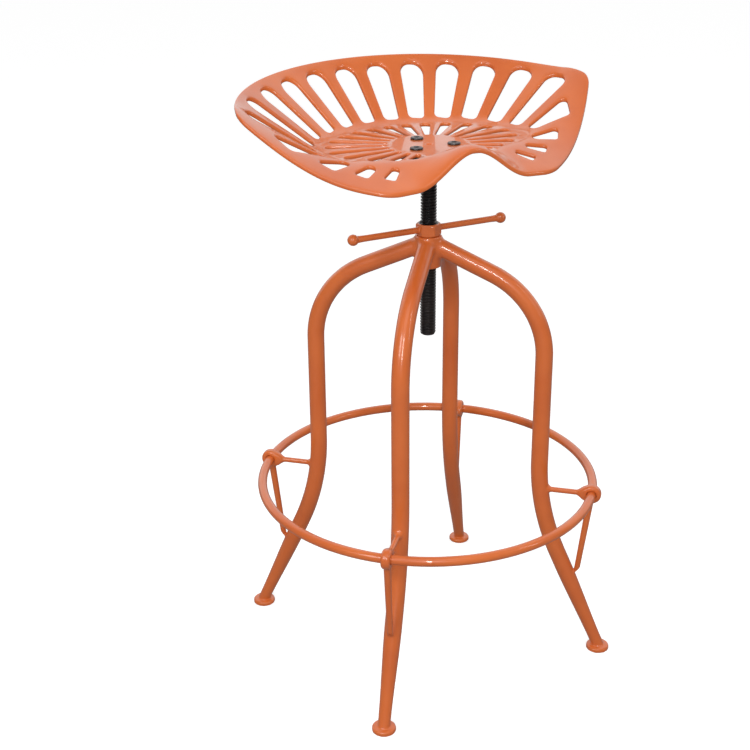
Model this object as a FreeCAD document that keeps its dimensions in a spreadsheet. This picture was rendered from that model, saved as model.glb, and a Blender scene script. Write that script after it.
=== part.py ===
import FreeCAD, Part
import Sketcher
import math
import os
from FreeCAD import Placement, Rotation, Vector

# Stool with a slotted cast tractor seat on a lifting screw, four bent tube legs and a footrest ring.
# Millimetres, origin on the floor under the screw, +Z up, the front of the seat towards -Y.

SIZES = [
    ("leg_count", 4, "legs round the screw, one bracket and one foot to each"),
    ("leg_turn", -42.35, "direction of the first leg from +X, degrees"),
    ("leg_tube", 22.2, "leg tube, outside diameter"),
    ("leg_wall", 1.5, "leg tube, wall"),
    ("leg_run", 150.3, "upright run of a leg, radius from the screw"),
    ("arm_height", 563.9, "height where the line of an arm crosses the screw"),
    ("arm_slope", 23.96, "fall of an arm, degrees"),
    ("shoulder_bend", 115, "bend between arm and upright run, centre line radius"),
    ("knee_height", 275.4, "where the upright run ends"),
    ("knee_bend", 320, "bend of the knee, centre line radius"),
    ("knee_angle", 24.2, "splay of the shin, degrees"),
    ("taper_height", 125, "where the shin starts to taper"),
    ("toe_tube", 15.7, "end of the taper, outside diameter"),
    ("foot_disc", 30.3, "foot disc, diameter"),
    ("foot_thickness", 6, "foot disc, thickness"),
    ("foot_slope_in", 3.4, "foot disc, chamfer of the upper edge, across"),
    ("foot_slope_down", 1.9, "foot disc, chamfer of the upper edge, down"),
    ("foot_ease", 0.8, "foot disc, chamfer of the lower edge"),
    ("sleeve_tube", 32.4, "threaded sleeve, outside diameter"),
    ("sleeve_bottom", 532, "sleeve, lower end"),
    ("sleeve_top", 572.5, "sleeve, upper end"),
    ("sleeve_chamfer", 1.2, "sleeve, chamfer of both ends"),
    ("screw_rod", 20, "lifting screw, diameter over the thread"),
    ("screw_bottom", 440.7, "lifting screw, lower end"),
    ("screw_chamfer", 1.8, "lifting screw, chamfer of both ends"),
    ("screw_clearance", 0.06, "running clearance of the screw on the radius"),
    ("nut_flats", 28, "lock nut, width across flats"),
    ("nut_height", 15.5, "lock nut, height"),
    ("nut_chamfer", 1.9, "lock nut, height of the chamfer on its corners"),
    ("nut_gap", 0.1, "lock nut above the sleeve"),
    ("handle_height", 7.7, "centre line of the handle above the nut's lower face"),
    ("handle_turn", -2.1, "direction of the lock handle from +X, degrees"),
    ("handle_rod", 8, "lock handle arm, diameter"),
    ("handle_reach", 103, "ball centre from the screw"),
    ("handle_ball", 14, "ball on the arm, diameter"),
    ("handle_neck", 9, "wide end of the cone under the ball, diameter"),
    ("handle_cone", 10, "length of that cone"),
    ("ring_radius", 220, "footrest ring, centre line radius"),
    ("ring_rod", 12, "footrest ring, rod diameter"),
    ("ring_height", 235.6, "footrest ring, centre above the floor"),
    ("ring_fit", 0.1, "clearance of a bracket eye round the ring rod"),
    ("eye_lump", 25, "bracket eye, outside diameter"),
    ("eye_width", 11.6, "bracket eye, width along the ring"),
    ("eye_chamfer", 1.8, "bracket eye, chamfer"),
    ("strut_rod", 7, "level strut of a bracket, diameter"),
    ("strut_flange", 12, "strut where it meets the leg, diameter"),
    ("flange_edge", 1.2, "thickness of that flange's edge beyond the leg"),
    ("flange_taper", 4.5, "length over which the flange narrows to the strut"),
    ("strut_fork", 17, "strut where it meets the eye, diameter"),
    ("fork_taper", 8, "length over which the strut widens to the fork"),
    ("brace_rod", 9, "sloping brace of a bracket, diameter at the eye"),
    ("brace_tip", 7.6, "sloping brace, diameter at its lower end"),
    ("brace_heel", 10, "length of the slanted heel at the brace's lower end"),
    ("brace_point", 4.4, "brace, diameter at the end of the heel"),
    ("brace_foot", 112, "height where the brace lands on the leg"),
    ("brace_stand", 0.6, "brace tip outside the leg surface"),
    ("seat_height", 686.5, "top of the pan floor"),
    ("pan_thickness", 5, "seat pan, wall"),
    ("oval_width", 493, "plan of the pan, width of the rear oval"),
    ("oval_depth", 462, "plan of the pan, depth of the rear oval"),
    ("oval_setback", -35, "centre of the rear oval along Y"),
    ("corner_round", 23, "side corner, radius in plan"),
    ("flank_radius", 512, "flank from side corner to lobe, radius in plan"),
    ("flank_angle", 31.4, "direction of the flank where it leaves the lobe, degrees"),
    ("lobe_reach", 108, "front lobe corner, along X"),
    ("lobe_round", 52, "front lobe, radius in plan"),
    ("front_line", -107, "front edge of the pan, along Y"),
    ("fold_width", 250, "fold line of the floor, width"),
    ("fold_rear", 98, "fold line, rear half axis"),
    ("fold_front", 75, "fold line, front half axis"),
    ("fold_centre", 12, "fold line, centre along Y"),
    ("fold_share", 0.22, "part of the wall taken up by the fold"),
    ("rear_rim", 762, "rim height at the rear"),
    ("side_rim", 748, "rim height where the sides begin to fall"),
    ("side_line", 50, "place of that height along Y"),
    ("lobe_rim", 667, "rim height at the front lobes"),
    ("pommel_rise", 36, "rise of the front edge between the lobes"),
    ("pommel_half", 77, "half width of that rise"),
    ("pommel_start", 45, "where the rise starts, in front of the screw"),
    ("inner_slots", 21, "slots in the floor, the middle one at the rear"),
    ("inner_step", 13.6, "step of those slots, degrees"),
    ("inner_start", 51, "inner slots, radius of the inner ends"),
    ("inner_narrow", 5, "inner slots, width at the inner end"),
    ("inner_wide", 13.5, "inner slots, width at the outer end"),
    ("outer_slots", 10, "slots up each side wall"),
    ("outer_step", 13.33, "step of those slots, degrees"),
    ("outer_spread", 5, "widening of the step towards the side, degrees"),
    ("outer_start", 14.2, "outer slots, inner ends beyond the fold line"),
    ("flank_start", 22, "the same at the flanks"),
    ("outer_narrow", 20, "outer slots, width at the inner end"),
    ("outer_wide", 32, "outer slots, width at the outer end"),
    ("outer_corner", 6, "outer slots, corner radius at the inner end"),
    ("outer_bar", 9, "least bar between outer slots, rear"),
    ("flank_bar", 16, "least bar between outer slots, flanks"),
    ("outer_length", 10, "outer slots, least length"),
    ("slot_heel", 0.45, "slots, largest corner radius at the inner end, part of the width there"),
    ("slot_tip", 0.4, "slots, corner radius at the outer end, part of the width there"),
    ("flank_tip", 0.22, "the same for outer slots at the flanks"),
    ("end_lean", 0.6, "how far the slots' outer ends lean with the edge, 1 being parallel to it"),
    ("rear_margin", 8.6, "rim between outer slots and edge, rear"),
    ("flank_margin", 28, "rim between outer slots and edge, flanks"),
    ("flank_from", 76, "direction from the rear where that rim starts to widen, degrees"),
    ("flank_over", 14, "turn over which it widens, degrees"),
    ("plate_disc", 96, "mounting plate, diameter"),
    ("plate_thickness", 5, "mounting plate, thickness"),
    ("plate_ease", 0.8, "mounting plate, chamfer of the lower edge"),
    ("collar_tube", 34, "collar under the plate, diameter"),
    ("collar_height", 8, "collar under the plate, height"),
    ("screw_recess", 0.5, "top of the screw under the top of the plate"),
    ("bolt_circle", 30, "seat bolts, radius of the circle"),
    ("bolt_count", 3, "seat bolts"),
    ("bolt_shank", 8, "seat bolts, diameter"),
    ("bolt_head", 15, "seat bolts, head diameter"),
    ("bolt_dome", 2.6, "seat bolts, head height"),
    ("bolt_rim", 0.9, "seat bolts, height of the head's edge"),
    ("bolt_socket", 6.4, "seat bolts, width of the recess in the head"),
    ("socket_floor", 0.8, "seat bolts, floor of the recess above the pan"),
    ("bolt_clearance", 0.3, "bolt holes on the radius"),
    ("bolt_proud", 2, "bolt end below its nut"),
    ("bolt_nut", 13, "bolt nuts, width across flats"),
    ("bolt_nut_height", 6.5, "bolt nuts, height"),
    ("bolt_fit", 0.05, "nut round its bolt, on the radius"),
]

doc = FreeCAD.newDocument("tractor_seat_stool")
sheet = doc.addObject("Spreadsheet::Sheet", "sizes")
for row, (alias, number, meaning) in enumerate(SIZES, start=1):
    sheet.set("A%d" % row, meaning)
    sheet.set("B%d" % row, str(number))
    sheet.setAlias("B%d" % row, alias)
doc.recompute()


def size(alias):
    """a driving size, read back from the sheet"""
    return float(getattr(sheet, alias))


def worked_out(formula):
    """the number that a formula over the sheet gives now"""
    answer = sheet.evalExpression(formula)
    return float(getattr(answer, "Value", answer))


def new_body(label):
    body = doc.addObject("PartDesign::Body", label)
    body.Label = label
    return body


def origin_plane(body, role):
    return [plane for plane in body.Origin.OriginFeatures if plane.Role == role][0]


def new_sketch(body, name, role="XZ_Plane", height=None):
    """a sketch on an origin plane of its own body, lifted along the plane's normal if asked"""
    sketch = body.newObject("Sketcher::SketchObject", name)
    sketch.AttachmentSupport = [(origin_plane(body, role), "")]
    sketch.MapMode = "FlatFace"
    if height:
        sketch.setExpression("AttachmentOffset.Base.z", height)
    return sketch


def bind(sketch, kind, where, formula):
    """a dimension whose value stays tied to the sheet"""
    index = sketch.addConstraint(Sketcher.Constraint(kind, *where, worked_out(formula)))
    sketch.setExpression("Constraints[%d]" % index, formula)


def arc_between(start, end, radius, side):
    """the short arc from start to end, bulging to the right of travel for side 1 and left for -1"""
    chord = end - start
    across = Vector(chord.y, -chord.x, 0).normalize() * side
    sagitta = radius - math.sqrt(max(radius ** 2 - (chord.Length / 2) ** 2, 0))
    middle = (start + end) * 0.5 + across * sagitta
    return Part.Arc(start, middle, end)


def edge_ends(side):
    """which sketch vertex of an edge is its start and which its end, arcs being anticlockwise"""
    return (1, 2) if side >= 0 else (2, 1)


def draw(sketch, corners, closed=True):
    """edges through corners (x, y) with bound places; (x, y, radius, side) starts an arc"""
    places = [Vector(worked_out(c[0]), worked_out(c[1]), 0) for c in corners]
    last = len(corners) if closed else len(corners) - 1
    ends = []
    first = sketch.GeometryCount
    for i in range(last):
        start, end = places[i], places[(i + 1) % len(places)]
        if len(corners[i]) == 4:
            radius, side = worked_out(corners[i][2]), corners[i][3]
            index = sketch.addGeometry(arc_between(start, end, radius, side))
            bind(sketch, "Radius", (index,), corners[i][2])
            ends.append(edge_ends(side))
        else:
            sketch.addGeometry(Part.LineSegment(start, end))
            ends.append((1, 2))
    for i in range(last if closed else last - 1):
        k = (i + 1) % last
        sketch.addConstraint(Sketcher.Constraint("Coincident", first + i, ends[i][1], first + k, ends[k][0]))
    for i in range(last):
        bind(sketch, "DistanceX", (-1, 1, first + i, ends[i][0]), corners[i][0])
        bind(sketch, "DistanceY", (-1, 1, first + i, ends[i][0]), corners[i][1])
    if not closed:
        bind(sketch, "DistanceX", (-1, 1, first + last - 1, ends[-1][1]), corners[-1][0])
        bind(sketch, "DistanceY", (-1, 1, first + last - 1, ends[-1][1]), corners[-1][1])


def draw_circle(sketch, x, y, radius):
    centre = Vector(worked_out(x), worked_out(y), 0)
    index = sketch.addGeometry(Part.Circle(centre, Vector(0, 0, 1), worked_out(radius)))
    bind(sketch, "Radius", (index,), radius)
    bind(sketch, "DistanceX", (-1, 1, index, 3), x)
    bind(sketch, "DistanceY", (-1, 1, index, 3), y)


def draw_axis(sketch, start, end):
    """a construction line that a turned feature can go round, its ends bound like corners"""
    places = [Vector(worked_out(x), worked_out(y), 0) for x, y in (start, end)]
    index = sketch.addGeometry(Part.LineSegment(*places), True)
    for vertex, (x, y) in ((1, start), (2, end)):
        bind(sketch, "DistanceX", (-1, 1, index, vertex), x)
        bind(sketch, "DistanceY", (-1, 1, index, vertex), y)


def turn_profile(body, sketch, axis="V_Axis", cut=False):
    kind = "PartDesign::Groove" if cut else "PartDesign::Revolution"
    feature = body.newObject(kind, sketch.Name + "_turned")
    feature.Profile = sketch
    feature.ReferenceAxis = (sketch, [axis])
    feature.Angle = 360
    return feature


def turned_body(label, corners):
    """a piece that is one profile turned round its own Z axis"""
    body = new_body(label)
    sketch = new_sketch(body, label + "_profile")
    draw(sketch, corners)
    turn_profile(body, sketch)
    return body


def pad_sketch(body, sketch, length, middle=False):
    pad = body.newObject("PartDesign::Pad", sketch.Name + "_pad")
    pad.Profile = sketch
    pad.setExpression("Length", length)
    if middle:
        pad.SideType = "Symmetric"
    return pad


def pocket_through(body, sketch, upwards=False):
    pocket = body.newObject("PartDesign::Pocket", sketch.Name + "_cut")
    pocket.Profile = sketch
    pocket.Type = "ThroughAll"
    pocket.Reversed = upwards
    return pocket


def sweep(body, profile, path, cut=False):
    kind = "PartDesign::SubtractivePipe" if cut else "PartDesign::AdditivePipe"
    pipe = body.newObject(kind, path.Name + "_pipe")
    pipe.Profile = profile
    pipe.Spine = path
    return pipe


def place(body, turn="0", x="0", y="0", z="0"):
    """the piece's own frame: turned about Z and moved, all from formulas"""
    body.Placement = Placement(Vector(0, 0, 0), Rotation(Vector(0, 0, 1), worked_out(turn)))
    body.setExpression("Placement.Rotation.Angle", turn)
    for name, formula in (("x", x), ("y", y), ("z", z)):
        body.setExpression("Placement.Base." + name, formula)


def polar_pattern(body, original, count):
    pattern = body.newObject("PartDesign::PolarPattern", original.Name + "_round")
    pattern.Originals = [original]
    pattern.Axis = (original.Profile[0], ["N_Axis"])
    pattern.Angle = 360
    pattern.setExpression("Occurrences", count)
    body.Tip = pattern
    return pattern


def hexagon(flats, x="0"):
    """six corners across the given flats, flats facing along X"""
    tall = "(%s / 2 / cos(30))" % flats
    corners = []
    for step in range(6):
        angle = 30 + 60 * step
        corners.append(("%s + %s * cos(%d)" % (x, tall, angle), "%s * sin(%d)" % (tall, angle)))
    return corners


# Legs: one bent tube each, from the sleeve out and down to the floor, in the plane of its own leg.

SHOULDER_X = "(sizes.leg_run - sizes.shoulder_bend)"
SHOULDER_Z = ("(sizes.arm_height - tan(sizes.arm_slope) * %s - sizes.shoulder_bend / cos(sizes.arm_slope))"
              % SHOULDER_X)
KNEE_X = "(sizes.leg_run + sizes.knee_bend * (1 - cos(sizes.knee_angle)))"
KNEE_Z = "(sizes.knee_height - sizes.knee_bend * sin(sizes.knee_angle))"


def shin_x(height):
    """distance of the shin's centre line from the screw at a height"""
    return "(%s + (%s - %s) * tan(sizes.knee_angle))" % (KNEE_X, KNEE_Z, height)


FOOT_X = shin_x("sizes.foot_thickness")
SPLIT_Z = "((%s + sizes.knee_height) / 2)" % SHOULDER_Z
TAPER_LENGTH = "((sizes.taper_height - sizes.foot_thickness) / cos(sizes.knee_angle))"


def shin_point(along, across):
    """a point of the taper's profile: along the shin from its start, across from its axis"""
    x = "%s + %s * sin(sizes.knee_angle) + %s * cos(sizes.knee_angle)"
    z = "sizes.taper_height - %s * cos(sizes.knee_angle) + %s * sin(sizes.knee_angle)"
    return (x % (shin_x("sizes.taper_height"), along, across), z % (along, across))


def upper_path(body, name):
    path = new_sketch(body, name)
    arm_x = "%s + sizes.shoulder_bend * sin(sizes.arm_slope)" % SHOULDER_X
    arm_z = "%s + sizes.shoulder_bend * cos(sizes.arm_slope)" % SHOULDER_Z
    inside = "sizes.screw_rod / 4"
    draw(path, [("sizes.leg_run", SPLIT_Z),
                ("sizes.leg_run", SHOULDER_Z, "sizes.shoulder_bend", 1),
                (arm_x, arm_z),
                (inside, "sizes.arm_height - tan(sizes.arm_slope) * " + inside)], closed=False)
    return path


def lower_path(body, name):
    path = new_sketch(body, name)
    draw(path, [("sizes.leg_run", SPLIT_Z),
                ("sizes.leg_run", "sizes.knee_height", "sizes.knee_bend", 1),
                (KNEE_X, KNEE_Z),
                (shin_x("sizes.taper_height"), "sizes.taper_height")], closed=False)
    return path


def tube_section(body, name, hollow):
    section = new_sketch(body, name, "XY_Plane", SPLIT_Z)
    draw_circle(section, "sizes.leg_run", "0", "sizes.leg_tube / 2")
    if hollow:
        draw_circle(section, "sizes.leg_run", "0", "sizes.leg_tube / 2 - sizes.leg_wall")
    return section


def taper_profile(body, name, hollow):
    """half section of the tapered end, run on straight below the floor so that it can be cut level"""
    profile = new_sketch(body, name)
    beyond = TAPER_LENGTH + " + sizes.foot_disc"
    bore = "(sizes.leg_tube / 2 - sizes.leg_wall)" if hollow else "0"
    toe_bore = "(sizes.toe_tube / 2 - sizes.leg_wall)" if hollow else "0"
    corners = [shin_point("0", bore), shin_point("0", "sizes.leg_tube / 2"),
               shin_point(TAPER_LENGTH, "sizes.toe_tube / 2"),
               shin_point("(%s)" % beyond, "sizes.toe_tube / 2"),
               shin_point("(%s)" % beyond, toe_bore)]
    if hollow:
        corners.append(shin_point(TAPER_LENGTH, toe_bore))
    draw(profile, corners)
    draw_axis(profile, shin_point("0", "0"), shin_point("(%s)" % beyond, "0"))
    return profile


def leg_direction(index):
    return "sizes.leg_turn + %d * 360 / sizes.leg_count" % index


def make_leg(index):
    """a bent tube, its end tapered, cut to the sleeve above and to the foot disc below"""
    label = "leg_%d" % (index + 1)
    body = new_body(label)
    section = tube_section(body, label + "_section", hollow=True)
    sweep(body, section, upper_path(body, label + "_arm"))
    sweep(body, section, lower_path(body, label + "_shin"))
    turn_profile(body, taper_profile(body, label + "_taper", hollow=True), "Axis0")
    mouth = new_sketch(body, label + "_mouth", "XY_Plane", "sizes.arm_height + sizes.leg_tube")
    draw_circle(mouth, "0", "0", "sizes.sleeve_tube / 2")
    pocket_through(body, mouth)
    floor = new_sketch(body, label + "_floor", "XY_Plane", "sizes.foot_thickness")
    draw_circle(floor, FOOT_X, "0", "sizes.foot_disc * 2")
    pocket_through(body, floor)
    place(body, leg_direction(index))
    return body


def make_foot(index):
    """a flat disc with a sloping upper edge, welded under the toe"""
    radius = "sizes.foot_disc / 2"
    body = turned_body("foot_%d" % (index + 1), [
        ("0", "0"),
        (radius + " - sizes.foot_ease", "0"),
        (radius, "sizes.foot_ease"),
        (radius, "sizes.foot_thickness - sizes.foot_slope_down"),
        (radius + " - sizes.foot_slope_in", "sizes.foot_thickness"),
        ("0", "sizes.foot_thickness"),
    ])
    turn = leg_direction(index)
    place(body, turn, FOOT_X + " * cos(%s)" % turn, FOOT_X + " * sin(%s)" % turn)
    return body


# Hub: the sleeve that the legs are welded to, threaded inside for the screw.

def make_sleeve():
    bore = "sizes.screw_rod / 2 + sizes.screw_clearance"
    outside = "sizes.sleeve_tube / 2"
    return turned_body("hub_sleeve", [
        (bore, "sizes.sleeve_bottom"),
        (outside + " - sizes.sleeve_chamfer", "sizes.sleeve_bottom"),
        (outside, "sizes.sleeve_bottom + sizes.sleeve_chamfer"),
        (outside, "sizes.sleeve_top - sizes.sleeve_chamfer"),
        (outside + " - sizes.sleeve_chamfer", "sizes.sleeve_top"),
        (bore, "sizes.sleeve_top"),
    ])


# Footrest: a closed ring of round rod, carried on each leg by a cast bracket.

def make_ring():
    body = new_body("footrest_ring")
    sketch = new_sketch(body, "ring_section")
    draw_circle(sketch, "sizes.ring_radius", "sizes.ring_height", "sizes.ring_rod / 2")
    turn_profile(body, sketch)
    return body


EYE_LEFT = "(sizes.ring_radius - sqrt((sizes.eye_lump / 2) ^ 2 - (sizes.strut_fork / 2) ^ 2))"
FLANGE_X = "(sizes.leg_run + sizes.leg_tube / 2 + sizes.flange_edge)"
BRACE_X = ("(%s + sizes.leg_tube / 2 / cos(sizes.knee_angle) + sizes.brace_stand)"
           % shin_x("sizes.brace_foot"))
BRACE_LEAN = "atan((sizes.ring_radius - %s) / (sizes.ring_height - sizes.brace_foot))" % BRACE_X


def strut_profile(body, name):
    """half section of the level strut: flange at the leg, thin middle, fork at the eye"""
    profile = new_sketch(body, name)
    level = "sizes.ring_height"
    thin = "sizes.ring_height + sizes.strut_rod / 2"
    draw(profile, [
        ("sizes.leg_run", level),
        ("sizes.ring_radius", level),
        ("sizes.ring_radius", "sizes.ring_height + sizes.strut_fork / 2"),
        (EYE_LEFT, "sizes.ring_height + sizes.strut_fork / 2"),
        (EYE_LEFT + " - sizes.fork_taper", thin),
        (FLANGE_X + " + sizes.flange_taper", thin),
        (FLANGE_X, "sizes.ring_height + sizes.strut_flange / 2"),
        ("sizes.leg_run", "sizes.ring_height + sizes.strut_flange / 2"),
    ])
    draw_axis(profile, ("sizes.leg_run", level), ("sizes.ring_radius", level))
    return profile


def brace_point(along, across):
    x = "sizes.ring_radius - %s * sin(%s) + %s * cos(%s)" % (along, BRACE_LEAN, across, BRACE_LEAN)
    z = "sizes.ring_height - %s * cos(%s) - %s * sin(%s)" % (along, BRACE_LEAN, across, BRACE_LEAN)
    return (x, z)


def brace_profile(body, name):
    """half section of the sloping brace, narrowing downwards and ending in a slanted heel"""
    profile = new_sketch(body, name)
    length = "((sizes.ring_height - sizes.brace_foot) / cos(%s))" % BRACE_LEAN
    draw(profile, [
        brace_point("0", "0"),
        brace_point(length, "0"),
        brace_point(length, "sizes.brace_point / 2"),
        brace_point("(%s - sizes.brace_heel)" % length, "sizes.brace_tip / 2"),
        brace_point("0", "sizes.brace_rod / 2"),
    ])
    draw_axis(profile, brace_point("0", "0"), brace_point(length, "0"))
    return profile


def eye_profile(body, name):
    """half section of the eye across its width, chamfered, to be turned on the ring's tangent"""
    profile = new_sketch(body, name, "XY_Plane", "sizes.ring_height")
    outer = "sizes.ring_radius + sizes.eye_lump / 2"
    half = "sizes.eye_width / 2"
    draw(profile, [
        ("sizes.ring_radius", "-" + half),
        (outer + " - sizes.eye_chamfer", "-" + half),
        (outer, "-%s + sizes.eye_chamfer" % half),
        (outer, half + " - sizes.eye_chamfer"),
        (outer + " - sizes.eye_chamfer", half),
        ("sizes.ring_radius", half),
    ])
    draw_axis(profile, ("sizes.ring_radius", "-" + half), ("sizes.ring_radius", half))
    return profile


def make_bracket(index):
    """a cast Y: a level strut and a sloping brace that meet in an eye round the ring"""
    label = "footrest_bracket_%d" % (index + 1)
    body = new_body(label)
    turn_profile(body, eye_profile(body, label + "_eye"), "Axis0")
    turn_profile(body, strut_profile(body, label + "_strut"), "Axis0")
    turn_profile(body, brace_profile(body, label + "_brace"), "Axis0")
    section = tube_section(body, label + "_leg_section", hollow=False)
    sweep(body, section, lower_path(body, label + "_leg_line"), cut=True)
    turn_profile(body, taper_profile(body, label + "_leg_taper", hollow=False), "Axis0", cut=True)
    bore = new_sketch(body, label + "_bore")
    draw_circle(bore, "sizes.ring_radius", "sizes.ring_height", "sizes.ring_rod / 2 + sizes.ring_fit")
    turn_profile(body, bore, cut=True)
    place(body, leg_direction(index))
    return body


# Lock: a hexagon nut that jams on the sleeve, with two arms welded to opposite flats.

NUT_BOTTOM = "(sizes.sleeve_top + sizes.nut_gap)"
NUT_TOP = "(%s + sizes.nut_height)" % NUT_BOTTOM


def make_lock_nut():
    body = new_body("lock_nut")
    outline = new_sketch(body, "lock_nut_outline", "XY_Plane", NUT_BOTTOM)
    draw(outline, hexagon("sizes.nut_flats"))
    pad_sketch(body, outline, "sizes.nut_height")
    hole = new_sketch(body, "lock_nut_hole", "XY_Plane", NUT_TOP)
    draw_circle(hole, "0", "0", "sizes.screw_rod / 2 + sizes.screw_clearance")
    pocket_through(body, hole)
    corner = "sizes.nut_flats / 2 / cos(30)"
    flat = "sizes.nut_flats / 2"
    outside = "2 * %s - %s" % (corner, flat)
    for name, end, inner in (("top", NUT_TOP, " - "), ("bottom", NUT_BOTTOM, " + ")):
        chamfer = new_sketch(body, "lock_nut_%s_chamfer" % name)
        draw(chamfer, [(flat, end), (outside, end), (outside, end + inner + "2 * sizes.nut_chamfer")])
        turn_profile(body, chamfer, cut=True)
    place(body, "sizes.handle_turn")
    return body


def make_handle(index):
    """a round arm ending in a cone and a ball, turned about the arm's own line"""
    body = new_body("lock_handle_%d" % (index + 1))
    profile = new_sketch(body, body.Name + "_profile")
    ball = "sizes.handle_ball / 2"
    neck = "sizes.handle_neck / 2"
    ball_start = "(sizes.handle_reach - sqrt((%s) ^ 2 - (%s) ^ 2))" % (ball, neck)
    draw(profile, [
        ("sizes.nut_flats / 2", "0"),
        ("sizes.handle_reach + " + ball, "0", ball, 1),
        (ball_start, neck),
        (ball_start + " - sizes.handle_cone", "sizes.handle_rod / 2"),
        ("sizes.nut_flats / 2", "sizes.handle_rod / 2"),
    ])
    turn_profile(body, profile, "H_Axis")
    place(body, "sizes.handle_turn + %d" % (180 * index), z=NUT_BOTTOM + " + sizes.handle_height")
    return body


# Lift: the screw, and the plate on its upper end that the pan is bolted to.

PLATE_TOP = "(sizes.seat_height - sizes.pan_thickness)"
PLATE_BOTTOM = "(%s - sizes.plate_thickness)" % PLATE_TOP


def make_screw():
    outside = "sizes.screw_rod / 2"
    top = PLATE_TOP + " - sizes.screw_recess"
    return turned_body("lift_screw", [
        ("0", "sizes.screw_bottom"),
        (outside + " - sizes.screw_chamfer", "sizes.screw_bottom"),
        (outside, "sizes.screw_bottom + sizes.screw_chamfer"),
        (outside, top + " - sizes.screw_chamfer"),
        (outside + " - sizes.screw_chamfer", top),
        ("0", top),
    ])


def make_plate():
    """a round plate with a collar for the screw and a hole for each seat bolt"""
    bore = "sizes.screw_rod / 2 + sizes.screw_clearance"
    edge = "sizes.plate_disc / 2"
    body = turned_body("mounting_plate", [
        (bore, PLATE_BOTTOM + " - sizes.collar_height"),
        ("sizes.collar_tube / 2", PLATE_BOTTOM + " - sizes.collar_height"),
        ("sizes.collar_tube / 2", PLATE_BOTTOM),
        (edge + " - sizes.plate_ease", PLATE_BOTTOM),
        (edge, PLATE_BOTTOM + " + sizes.plate_ease"),
        (edge, PLATE_TOP),
        (bore, PLATE_TOP),
    ])
    hole = new_sketch(body, "mounting_plate_hole", "XY_Plane", PLATE_TOP)
    draw_circle(hole, "sizes.bolt_circle", "0", "sizes.bolt_shank / 2 + sizes.bolt_clearance")
    polar_pattern(body, pocket_through(body, hole), "sizes.bolt_count")
    place(body, "90")
    return body


def make_bolts():
    """button headed bolts on one circle, the first of them at the rear"""
    body = new_body("seat_bolts")
    body.AllowCompound = True
    profile = new_sketch(body, "seat_bolt_profile")
    head = "sizes.bolt_head / 2"
    shank = "sizes.bolt_shank / 2"
    top = "sizes.seat_height + sizes.bolt_dome"
    end = PLATE_BOTTOM + " - sizes.bolt_nut_height - sizes.bolt_proud"
    crown = "sizes.bolt_circle + sizes.bolt_socket / 2"
    draw(profile, [
        ("sizes.bolt_circle", end),
        ("sizes.bolt_circle + " + shank, end),
        ("sizes.bolt_circle + " + shank, "sizes.seat_height"),
        ("sizes.bolt_circle + " + head, "sizes.seat_height"),
        ("sizes.bolt_circle + " + head, "sizes.seat_height + sizes.bolt_rim"),
        (crown, top),
        (crown, "sizes.seat_height + sizes.socket_floor"),
        ("sizes.bolt_circle", "sizes.seat_height + sizes.socket_floor"),
    ])
    draw_axis(profile, ("sizes.bolt_circle", end), ("sizes.bolt_circle", "sizes.seat_height"))
    bolt = turn_profile(body, profile, "Axis0")
    pattern = body.newObject("PartDesign::PolarPattern", "seat_bolts_round")
    pattern.Originals = [bolt]
    pattern.Axis = (profile, ["V_Axis"])
    pattern.Angle = 360
    pattern.setExpression("Occurrences", "sizes.bolt_count")
    body.Tip = pattern
    place(body, "90")
    return body


def make_bolt_nuts():
    body = new_body("seat_nuts")
    body.AllowCompound = True
    outline = new_sketch(body, "seat_nut_outline", "XY_Plane", PLATE_BOTTOM + " - sizes.bolt_nut_height")
    draw(outline, hexagon("sizes.bolt_nut", "sizes.bolt_circle"))
    draw_circle(outline, "sizes.bolt_circle", "0", "sizes.bolt_shank / 2 + sizes.bolt_fit")
    pad = pad_sketch(body, outline, "sizes.bolt_nut_height")
    polar_pattern(body, pad, "sizes.bolt_count")
    place(body, "90")
    return body


# Seat pan: one dished casting whose surface follows a rule, cut to its plan and slotted.

def oval_distance(across, along, centre, half_width, half_depth):
    """from the screw in the direction (across, along) to an oval centred on the Y axis"""
    a = (across / half_width) ** 2 + (along / half_depth) ** 2
    b = -2 * along * centre / half_depth ** 2
    c = (centre / half_depth) ** 2 - 1
    return (math.sqrt(max(b * b - 4 * a * c, 0)) - b) / (2 * a)


def flank_centre():
    """centre of the flank's arc, which leaves the lobe corner at its own angle"""
    radius, angle = size("flank_radius"), math.radians(size("flank_angle"))
    return size("lobe_reach") - radius * math.sin(angle), size("front_line") + radius * math.cos(angle)


def edge_distance(across, along, sharpness):
    """from the screw to the pan's edge, its corners blended by a power mean"""
    across = abs(across)
    rear = oval_distance(across, along, size("oval_setback"), size("oval_width") / 2, size("oval_depth") / 2)
    centre_x, centre_y = flank_centre()
    toward = across * centre_x + along * centre_y
    inside = toward ** 2 - centre_x ** 2 - centre_y ** 2 + size("flank_radius") ** 2
    flank = toward + math.sqrt(max(inside, 0))
    total = rear ** -sharpness + flank ** -sharpness
    if along < 0:
        total += (size("front_line") / along) ** -sharpness
    return total ** (-1 / sharpness)


def fold_distance(across, along):
    """from the screw to the fold line, two half ovals on one centre"""
    half_width, centre = size("fold_width") / 2, size("fold_centre")
    rear = oval_distance(across, along, centre, half_width, size("fold_rear"))
    if rear * along >= centre:
        return rear
    return oval_distance(across, along, centre, half_width, size("fold_front"))


def rim_height(y):
    """height of the edge: level at the rear, eased down to the front lobes"""
    low, high = size("lobe_rim"), size("side_rim")
    share = (y - size("front_line")) / (size("side_line") - size("front_line"))
    eased = (1 - math.cos(math.pi * min(max(share, 0), 1))) / 2
    rear = size("oval_setback") + size("oval_depth") / 2
    beyond = max(y - size("side_line"), 0) / (rear - size("side_line"))
    return low + (high - low) * eased + (size("rear_rim") - high) * beyond


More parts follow.
